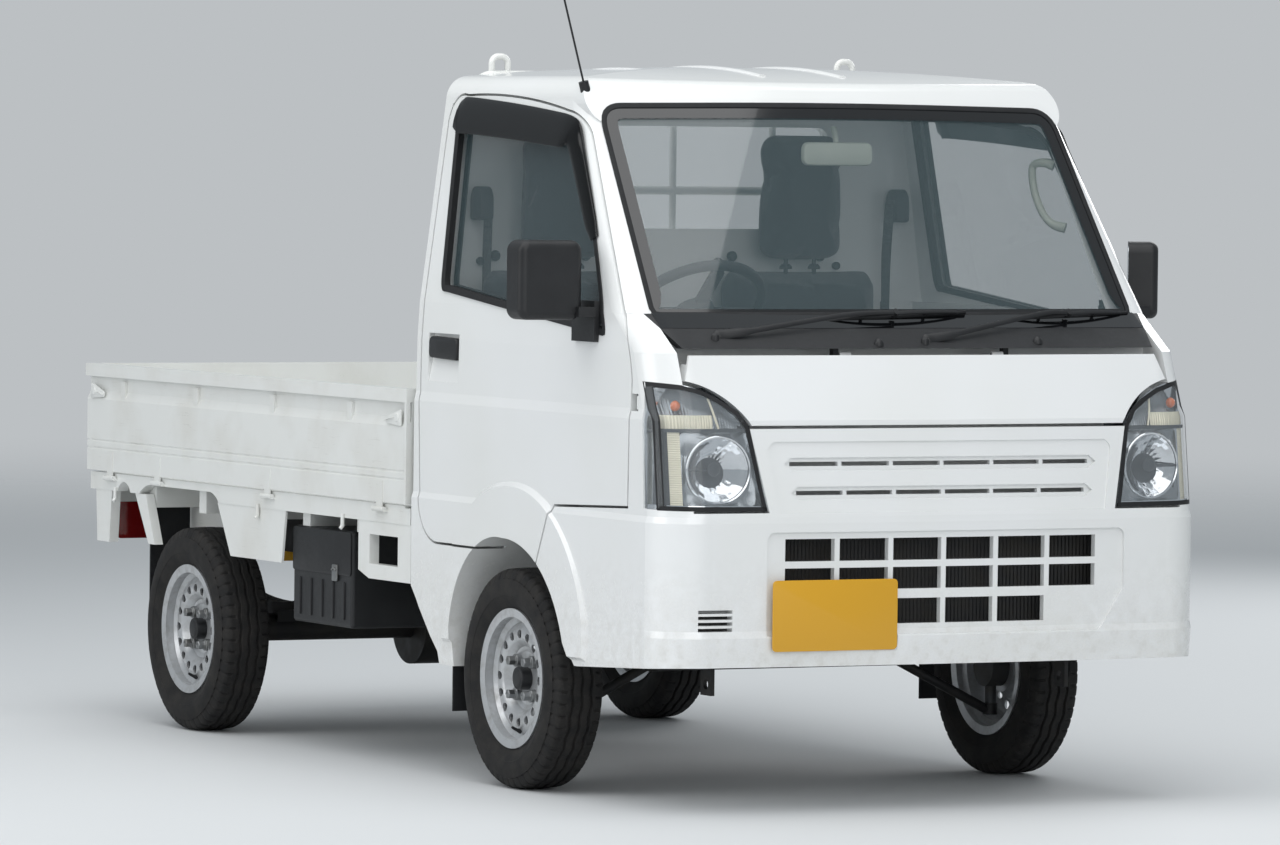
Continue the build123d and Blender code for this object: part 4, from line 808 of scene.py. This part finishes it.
# outline in back from the nose and height
baseOutline = [(0.800, 0.702), (0.792, 0.800), (0.830, 0.834), (1.000, 0.824), (1.165, 0.806),
               (1.230, 0.760), (1.225, 0.702)]
backOutline = [(1.188, 0.830), (1.222, 1.060), (1.242, 1.225), (1.285, 1.252), (1.318, 1.215),
               (1.322, 1.020), (1.295, 0.760), (1.240, 0.745)]
headOutline = [(1.236, 1.262), (1.226, 1.400), (1.234, 1.552), (1.268, 1.582), (1.302, 1.558),
               (1.315, 1.400), (1.308, 1.262)]


def applyModifiers(piece):
    graph = bpy.context.evaluated_depsgraph_get()
    mesh = bpy.data.meshes.new_from_object(piece.evaluated_get(graph))
    piece.modifiers.clear()
    piece.data = mesh


def cushionPart(x0, x1, outline, radius, round=0.045, rows=17):
    # rings of the outline; near both ends they draw in by round (1 - sqrt(1 - s^2))
    loop = resampled(roundedOutline(outline, radius, 8), 96)
    spread, half = np.linspace(-1, 1, rows), 0.5 * (x1 - x0)
    s = np.clip((np.abs(spread) * half - (half - round)) / round, 0, 0.985)
    away = round * (1 - np.sqrt(1 - s**2))
    rings = [onPlane(inset(loop, float(a)), "x", x0 + half * (t + 1)) for a, t in zip(away, spread)]
    points = np.stack(rings)
    points[..., 1] += body["front"]
    return gridPart(points, closeColumns=True, capRows=True)


def puff(piece, voxel=0.008, pressure=3.0, frames=16):
    # an even mesh, blown out by cloth pressure; no point moves further than the cap
    remesh = piece.modifiers.new("remesh", "REMESH")
    remesh.mode, remesh.voxel_size = "VOXEL", voxel
    applyModifiers(piece)
    count = len(piece.data.vertices)
    rest = np.empty(count * 3)
    piece.data.vertices.foreach_get("co", rest)
    cloth = piece.modifiers.new("cloth", "CLOTH")
    cloth.settings.use_pressure = True
    cloth.settings.uniform_pressure_force = pressure
    cloth.settings.effector_weights.gravity = 0
    cloth.settings.quality = 5
    for frameNumber in range(1, frames + 1):
        scene.frame_set(frameNumber)
    applyModifiers(piece)
    scene.frame_set(1)
    blown = np.empty(count * 3)
    piece.data.vertices.foreach_get("co", blown)
    way = (blown - rest).reshape(-1, 3)
    length = np.linalg.norm(way, axis=1, keepdims=True)
    way = way * np.minimum(1, seat["cap"] / (length + 1e-9))
    piece.data.vertices.foreach_set("co", (rest.reshape(-1, 3) + way).ravel())


def cushion(name, x0, x1, outline, radius):
    piece = addPiece(name, [cushionPart(x0, x1, outline, radius)], "seat_fabric", "chassis",
                     60)
    puff(piece)
    fine = piece.modifiers.new("fine", "SUBSURF")
    fine.levels = fine.render_levels = 1
    applyModifiers(piece)
    piece.data.polygons.foreach_set("use_smooth", np.ones(len(piece.data.polygons), dtype=bool))
    if not piece.data.materials:
        piece.data.materials.append(materials["seat_fabric"])
    return piece


cushions, stems = [], []
for side, x in zip(("right", "left"), seat["centres"]):
    half, headHalf = 0.5 * seat["width"] - 0.006, 0.5 * seat["headWidth"] - 0.003
    cushions.append(cushion(f"seat_base_{side}", x - half, x + half, baseOutline, 0.05))
    cushions.append(cushion(f"seat_back_{side}", x - half, x + half, backOutline, 0.05))
    cushions.append(cushion(f"head_rest_{side}", x - headHalf, x + headHalf, headOutline, 0.035))
    for stemX in (x - 0.040, x + 0.040):
        stems.append(tube([(stemX, nose(1.268), z) for z in (1.190, 1.22, 1.25, 1.285)], 0.0055, 14,
                          (0, 1, 0)))
        stems.append(lathe([(0.0, 0.016), (0.006, 0.016), (0.013, 0.010), (0.013, 0.002)],
                           (stemX, nose(1.268), 1.238), "z", 20))
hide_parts("seats")
addPiece("head_rest_stems", stems, "black_plastic", "chassis")
print("stage: seats")

# Belts: a webbing run down each rear pillar from its guide, and the reel's housing below
beltParts, reelParts = [], []
for sign in (1, -1):
    webbing = []
    for z, x, y in ((1.420, 0.566, -0.394), (1.38, 0.562, -0.388), (1.20, 0.560, -0.374),
                    (0.95, 0.566, -0.368), (0.800, 0.590, -0.366)):
        webbing.append([(sign * x, y - 0.0235, z), (sign * x, y + 0.0235, z),
                        (sign * (x - 0.0013), y + 0.0235, z), (sign * (x - 0.0013), y - 0.0235, z)])
    path = np.array(webbing)
    beltParts.append(gridPart(np.stack([smoothPath(path[:, k], 40) for k in range(4)], 1),
                              closeColumns=True, capRows=True))
    plate = roundedOutline([(-0.425, 1.355), (-0.362, 1.355), (-0.362, 1.415), (-0.378, 1.438),
                            (-0.410, 1.438), (-0.425, 1.415)], 0.012)
    reelParts.append(slab(plate, "x", *sorted((sign * 0.563, sign * 0.600)), 0.005))
    reel = roundedOutline([(-0.425, 0.700), (-0.325, 0.700), (-0.325, 0.800), (-0.350, 0.820),
                           (-0.400, 0.820), (-0.425, 0.800)], 0.014)
    reelParts.append(slab(reel, "x", *sorted((sign * 0.570, sign * 0.622)), 0.004))
addPiece("belt_webbing", beltParts, "belt_webbing", "chassis", 50)
addPiece("belt_reels", reelParts, "dash_plastic", "chassis")
print("stage: belts")

# Door glass: a rubber channel round each opening, a smoked rain visor over it
cabBack = -0.3205
sideLean = 0.066 / 0.496
windowEdge = [(cabBack - 0.1475, 1.186), (nose(0.3715), 1.102), (nose(0.3975), 1.184),
              (nose(0.4735), 1.326), (nose(0.600), 1.520), (nose(0.640), 1.574), (nose(0.735), 1.598),
              (-0.70, 1.618), (cabBack - 0.1155, 1.634), (cabBack - 0.0855, 1.624),
              (cabBack - 0.0855, 1.600), (cabBack - 0.1155, 1.210), (cabBack - 0.1245, 1.186)]


def leaningSide(y, z, out=0.0):
    # the door's upper frame leans in; below the belt the side stands upright
    x = 0.712 - sideLean * np.maximum(z - body["beltZ"], 0) + out
    return np.stack(np.broadcast_arrays(x, y, z), -1)


edgeRadius = [0.012, 0.008, 0.03, 0.03, 0.03, 0.03, 0.05, 0.05, 0.02, 0.02, 0.03, 0.02, 0.01]
edge = resampled(roundedOutline(windowEdge, edgeRadius, 6), 260)
channels = []
for out, way in ((0.0015, -1), (-0.036, 1)):
    steps = [(-0.004, 0.0), (-0.004, 0.003), (0.006, 0.0035), (0.0115, 0.001), (0.0115, -0.014)]
    rows = []
    for away, rise in steps:
        loop = inset(edge, away)
        rows.append(leaningSide(loop[:, 0], loop[:, 1], out - way * rise))
    channels.append(gridPart(np.stack(rows), closeColumns=True))
addPair("window_rubber", channels, "rubber", "door")

# The visor follows the front slope and the top edge, up to 78 mm deep, and stands 24 mm out at its edge
visorLine = smoothPath([(nose(0.4625), 1.330), (nose(0.5270), 1.430), (nose(0.5900), 1.527),
                        (nose(0.628), 1.583), (nose(0.680), 1.602), (nose(0.78), 1.613), (-0.70, 1.630),
                        (cabBack - 0.150, 1.643), (cabBack - 0.100, 1.641)], 90)
across = np.stack([np.gradient(visorLine[:, 1]), -np.gradient(visorLine[:, 0])], -1)
across /= np.linalg.norm(across, axis=1, keepdims=True)
deepest = np.interp(np.linspace(0, 1, 90), [0, 0.05, 0.30, 0.5, 0.95, 1],
                    [0.022, 0.036, 0.046, 0.066, 0.078, 0.060])[:, None]
stand = np.interp(np.linspace(0, 1, 90), [0, 0.25, 0.5, 1], [0.35, 0.6, 1, 1])[:, None]
rows = []
visorProfile = ((-0.16, 0.002), (-0.10, 0.006), (0.0, 0.010), (0.3, 0.018), (0.7, 0.023), (0.97, 0.024),
                (1.0, 0.0228), (0.97, 0.0212), (0.7, 0.0202), (0.3, 0.0152), (0.0, 0.0072), (-0.10, 0.0034))
for share, out in visorProfile:
    line = visorLine + across * deepest * share
    rows.append(leaningSide(line[:, 0], line[:, 1], (0.002 + (out - 0.002) * stand)[:, 0]))
visor = [gridPart(np.stack(rows, 1), closeColumns=True, capRows=True)]
addPair("rain_visor", visor, "smoked", "door", 50)

# Door pull in its recess, and the lock
pullOutline = roundedOutline([(-0.548, 1.016), (-0.400, 1.020), (-0.393, 1.030), (-0.395, 1.066),
                              (-0.408, 1.073), (-0.540, 1.070), (-0.548, 1.060)], 0.010)
pull = [slab(pullOutline, "x", 0.706, 0.7235, 0.005)]
lock = [lathe([(0.7165, 0.0135), (0.7205, 0.0135), (0.7225, 0.0120), (0.7225, 0.0035), (0.7195, 0.0030),
               (0.7195, 0.0005)], (0, -0.419, 0.874), "x", 32)]
addPair("door_pull", pull, "black_plastic", "door")
addPair("door_lock", lock, "bare_steel", "door")

# Number plate, bare, on its seat in the bumper; the radiator's core behind the openings
plateOutline = roundedOutline(rectangle(-0.461, -0.131, 0.3785, 0.5435), 0.012)
addPiece("front_plate", [slab(plateOutline, "y", -1.6972, -1.6955, 0.0004)], "plate_paint", "chassis")
x, z = np.meshgrid(np.linspace(-0.50, 0.50, 401), np.linspace(0.400, 0.680, 8))
core = np.stack([x, nose(0.100) + 0.005 * np.abs((x / 0.010) % 1 - 0.5), z], -1)
addPiece("radiator_core", [gridPart(core)], "chassis_black", "chassis", 20)
print("stage: doors and plate")

# Inside: mirror on its stalk, grab handle on the left pillar, coat knobs on the wall
mirrorOutline = roundedOutline(rectangle(-0.074, 0.115, 1.500, 1.556), 0.020, 8)
mirrorBack = slab(mirrorOutline, "y", -1.108, -1.086, 0.007)
stalk = tube(smoothPath([(0.020, -1.095, 1.540), (0.022, -1.088, 1.565), (0.024, -1.072, 1.592)], 12),
             0.007, 12, (1, 0, 0))
addPiece("inside_mirror", [mirrorBack, stalk], "pale_trim", "chassis")
handlePath = smoothPath([(0.618, -1.108, 1.505), (0.598, -1.090, 1.512), (0.586, -1.060, 1.500),
                         (0.584, -1.075, 1.440), (0.590, -1.110, 1.385), (0.600, -1.140, 1.362),
                         (0.622, -1.160, 1.354)], 60)
handleRadius = np.interp(np.linspace(0, 1, 60), [0, 0.15, 0.3, 0.7, 0.85, 1],
                         [0.013, 0.011, 0.0095, 0.0095, 0.011, 0.013])
handle = tube(handlePath, handleRadius, 14, (1, 0, 0))
addPiece("grab_handle", [handle], "pale_trim", "chassis")
knobs = []
knobPlaces = ((0.088, 1.255, 0.010), (0.128, 1.268, 0.013), (0.377, 1.269, 0.013), (0.424, 1.245, 0.010),
              (-0.570, 1.255, 0.010), (-0.530, 1.268, 0.013), (-0.281, 1.269, 0.013),
              (-0.234, 1.245, 0.010))
for x, z, radius in knobPlaces:
    knobs.append(lathe([(0.0, 0.8 * radius), (-0.006, 0.8 * radius), (-0.010, radius), (-0.016, radius),
                        (-0.021, 0.72 * radius), (-0.0225, 0.2 * radius)], (x, cabBack - 0.0315, z), "y",
                       24))
addPiece("wall_knobs", knobs, "black_plastic", "chassis")
print("stage: inside")

# Mirror glass, set into the rear face of each head
glassOutline = roundedOutline(rectangle(-0.072, 0.072, -0.083, 0.083), 0.022, 8)
glassPoints, glassPieces = slab(glassOutline, "y", 0.0355, 0.0372, 0.0006)
headTurn = math.radians(60)
c, s = math.cos(headTurn), math.sin(headTurn)
x, y, z = glassPoints.T
turned = np.stack([x * c - y * s, x * s + y * c, z], -1)
addPiece("mirror_glass_right", moved([(glassPoints, glassPieces)], (-0.832, -1.245, 1.228)), "mirror",
         "door_right")
addPiece("mirror_glass_left", moved([(turned, glassPieces)], (0.8487, -1.150, 1.228)), "mirror",
         "door_left")

# Gate latches: a pressed lever with its pivot and handle at each corner
pivotProfile = [(0.7285, 0.011), (0.7355, 0.011), (0.7368, 0.0095), (0.7368, 0.002)]
handleX = 0.7362
latches = []
for y0, y1 in ((-0.263, -0.177), (1.660, 1.574)):
    lever = [(y0, 0.846), (y1, 0.852), (y1, 0.866), (0.6 * y1 + 0.4 * y0, 0.876), (y0, 0.888)]
    latches.append(slab(roundedOutline(lever[:: 1 if y1 > y0 else -1], 0.006), "x", 0.7295, 0.7345, 0.002))
    latches.append(lathe(pivotProfile, (0, 0.75 * y0 + 0.25 * y1, 0.867), "x", 24))
    handle = [(handleX, 0.55 * y0 + 0.45 * y1, 0.866), (handleX, 0.25 * y0 + 0.75 * y1, 0.863),
              (handleX, y1, 0.858)]
    latches.append(tube(smoothPath(handle, 10), 0.0030, 8, (0, 0, 1), 0.35))
addPair("gate_latches", latches, "bed_paint", "side_gate")

# Battery box: lid seam, ribs and its over-centre clip
boxX, boxFront, boxRear = -0.698, 0.084, 0.436
lidLoop = roundedOutline(rectangle(boxFront + 0.004, boxRear - 0.004, 0.456, 0.566), 0.010)
ribs = [slab(lidLoop, "x", boxX - 0.0035, boxX + 0.002, 0.002)]
for y in np.linspace(boxFront + 0.045, boxRear - 0.045, 5):
    ribs.append(slab(roundedOutline(rectangle(y - 0.006, y + 0.006, 0.345, 0.440), 0.004), "x",
                     boxX - 0.0035, boxX + 0.002, 0.0015))
addPiece("battery_box_lid", ribs, "black_plastic", "chassis")
clip = [slab(roundedOutline(rectangle(0.160, 0.190, 0.440, 0.482), 0.005), "x", boxX - 0.0075, boxX - 0.002,
             0.0015),
        tube([(boxX - 0.008, 0.163, 0.468), (boxX - 0.010, 0.175, 0.474), (boxX - 0.008, 0.187, 0.468)],
             0.0028, 8, (0, 0, 1))]
addPiece("battery_box_clip", clip, "bare_steel", "chassis")

# Tail lamps: three ribbed lenses in a black surround, and the bare rear plate on its bracket
lensSets = {"tail_lens": [], "amber": [], "clear_lens": []}
for x0, x1, kind in ((0.476, 0.532, "clear_lens"), (0.536, 0.592, "tail_lens"), (0.596, 0.654, "amber")):
    x, z = np.meshgrid(np.linspace(x0, x1, 48), np.linspace(0.478, 0.562, 12))
    away = np.maximum(np.abs(2 * (x - x0) / (x1 - x0) - 1), np.abs(2 * (z - 0.478) / 0.084 - 1))
    dome = 1 - np.clip(away * 6 - 5, 0, 1) ** 2
    y = body["rear"] - 0.012 + 0.0095 * dome + 0.0012 * np.abs(np.sin(math.pi * x / 0.006)) * dome
    lensSets[kind].append(gridPart(np.stack([x, y, z], -1)))
for kind, parts in lensSets.items():
    addPiece(f"rear_{kind}", parts + mirrored(parts), kind, "chassis", 40)
rim = [slab(roundedOutline(rectangle(0.4685, 0.6615, 0.4715, 0.5685), 0.012), "y", body["rear"] - 0.030,
            body["rear"] - 0.0115, 0.002)]
addPiece("rear_lamp_surrounds", rim + mirrored(rim), "black_plastic", "chassis")
rearPlate = slab(roundedOutline(rectangle(-0.165, 0.165, 0.400, 0.565), 0.012), "y", body["rear"] - 0.0210,
                 body["rear"] - 0.0195, 0.0004)
addPiece("rear_plate", [rearPlate], "plate_paint", "chassis")
hanger = [slab(roundedOutline(rectangle(-0.10, 0.10, 0.440, 0.590), 0.008), "y", body["rear"] - 0.032,
               body["rear"] - 0.0212, 0.001)]
addPiece("rear_plate_hanger", hanger, "chassis_black", "chassis")
print("stage: rear and gates")

# Camera, lights and floor
view = {"azimuth": -27.27081, "elevation": 2.17608, "roll": -0.66427, "distance": 19.78172,
        "target": (0.06315, 0, 0.83962), "lens": 219.72}
azimuth, elevation, roll = (math.radians(view[k]) for k in ("azimuth", "elevation", "roll"))
backward = Vector((math.sin(azimuth) * math.cos(elevation), -math.cos(azimuth) * math.cos(elevation),
                   math.sin(elevation)))
sideways = Vector((math.cos(azimuth), math.sin(azimuth), 0))
upward = backward.cross(sideways)
cameraX = math.cos(roll) * sideways - math.sin(roll) * upward
cameraY = math.sin(roll) * sideways + math.cos(roll) * upward
place = Vector(view["target"]) + backward * view["distance"]
cameraData = bpy.data.cameras.new("camera")
cameraData.lens = view["lens"]
cameraData.sensor_width = 36
cameraData.clip_end = 100
camera = bpy.data.objects.new("camera", cameraData)
camera.matrix_world = Matrix((cameraX, cameraY, backward)).transposed().to_4x4()
camera.location = place
scene.collection.objects.link(camera)
scene.camera = camera
scene.view_settings.view_transform = "Standard"

lamps = {
    "skyPanel": {"place": (-1.5, -1.5, 6.5), "target": (0, 0, 0.6), "size": 8.0, "power": 350},
    "frontPanel": {"place": (-2.0, -9.5, 4.0), "target": (0, -1, 0.8), "size": 6.0, "power": 235},
    "sidePanel": {"place": (-8.0, 0.0, 3.4), "target": (0, 0.3, 0.7), "size": 5.0, "power": 160},
    "rimPanel": {"place": (6.5, 4.5, 4.2), "target": (0, 0.5, 0.8), "size": 4.0, "power": 150},
}
for name, lamp in lamps.items():
    data = bpy.data.lights.new(name, "AREA")
    data.energy = lamp["power"]
    data.size = lamp["size"]
    light = bpy.data.objects.new(name, data)
    light.location = lamp["place"]
    light.rotation_euler = (Vector(lamp["target"]) - Vector(lamp["place"])).to_track_quat("-Z",
        "Y").to_euler()
    scene.collection.objects.link(light)

# The camera sees the world as a pale backdrop; the object is lit by it more softly
studio = {"light": "#d3dbe1", "strength": 0.55, "backdrop": "#bcc0c3", "floor": "#d3d5d6", "fadeNear": 6.0,
          "fadeFar": 20.0, "floorHalf": 60.0}
world = bpy.data.worlds.new("studio")
scene.world = world
world.use_nodes = True
worldTree = world.node_tree
background = worldTree.nodes["Background"]
ray = addNode(worldTree, "ShaderNodeLightPath").outputs["Is Camera Ray"]
worldTree.links.new(mix(worldTree, ray, studio["light"], studio["backdrop"]), background.inputs["Color"])
worldTree.links.new(between(worldTree, ray, -studio["strength"] / (1 - studio["strength"]), 1.0),
                    background.inputs["Strength"])

# the floor fades into the backdrop with the distance from the truck
half = studio["floorHalf"]
floorMesh = bpy.data.meshes.new("floor")
floorMesh.from_pydata([(-half, -half, 0), (half, -half, 0), (half, half, 0), (-half, half, 0)], [],
                      [(0, 1, 2, 3)])
floor = bpy.data.objects.new("floor", floorMesh)
scene.collection.objects.link(floor)
floorTree, floorShader = newMaterial("floor", studio["floor"], 0.75)
coords = addNode(floorTree, "ShaderNodeTexCoord").outputs["Object"]
distance = addNode(floorTree, "ShaderNodeVectorMath", {"operation": "LENGTH"}, i0=coords).outputs["Value"]
fade = addNode(floorTree, "ShaderNodeMapRange", {"interpolation_type": "SMOOTHSTEP"}, Value=distance,
               i1=studio["fadeNear"], i2=studio["fadeFar"]).outputs[0]
clear = addNode(floorTree, "ShaderNodeBsdfTransparent").outputs[0]
blend = addNode(floorTree, "ShaderNodeMixShader", i0=fade)
floorTree.links.new(floorShader.outputs[0], blend.inputs[1])
floorTree.links.new(clear, blend.inputs[2])
floorTree.links.new(blend.outputs[0], floorTree.nodes["Material Output"].inputs["Surface"])
floorMesh.materials.append(materials["floor"])
print("stage: camera and lights")
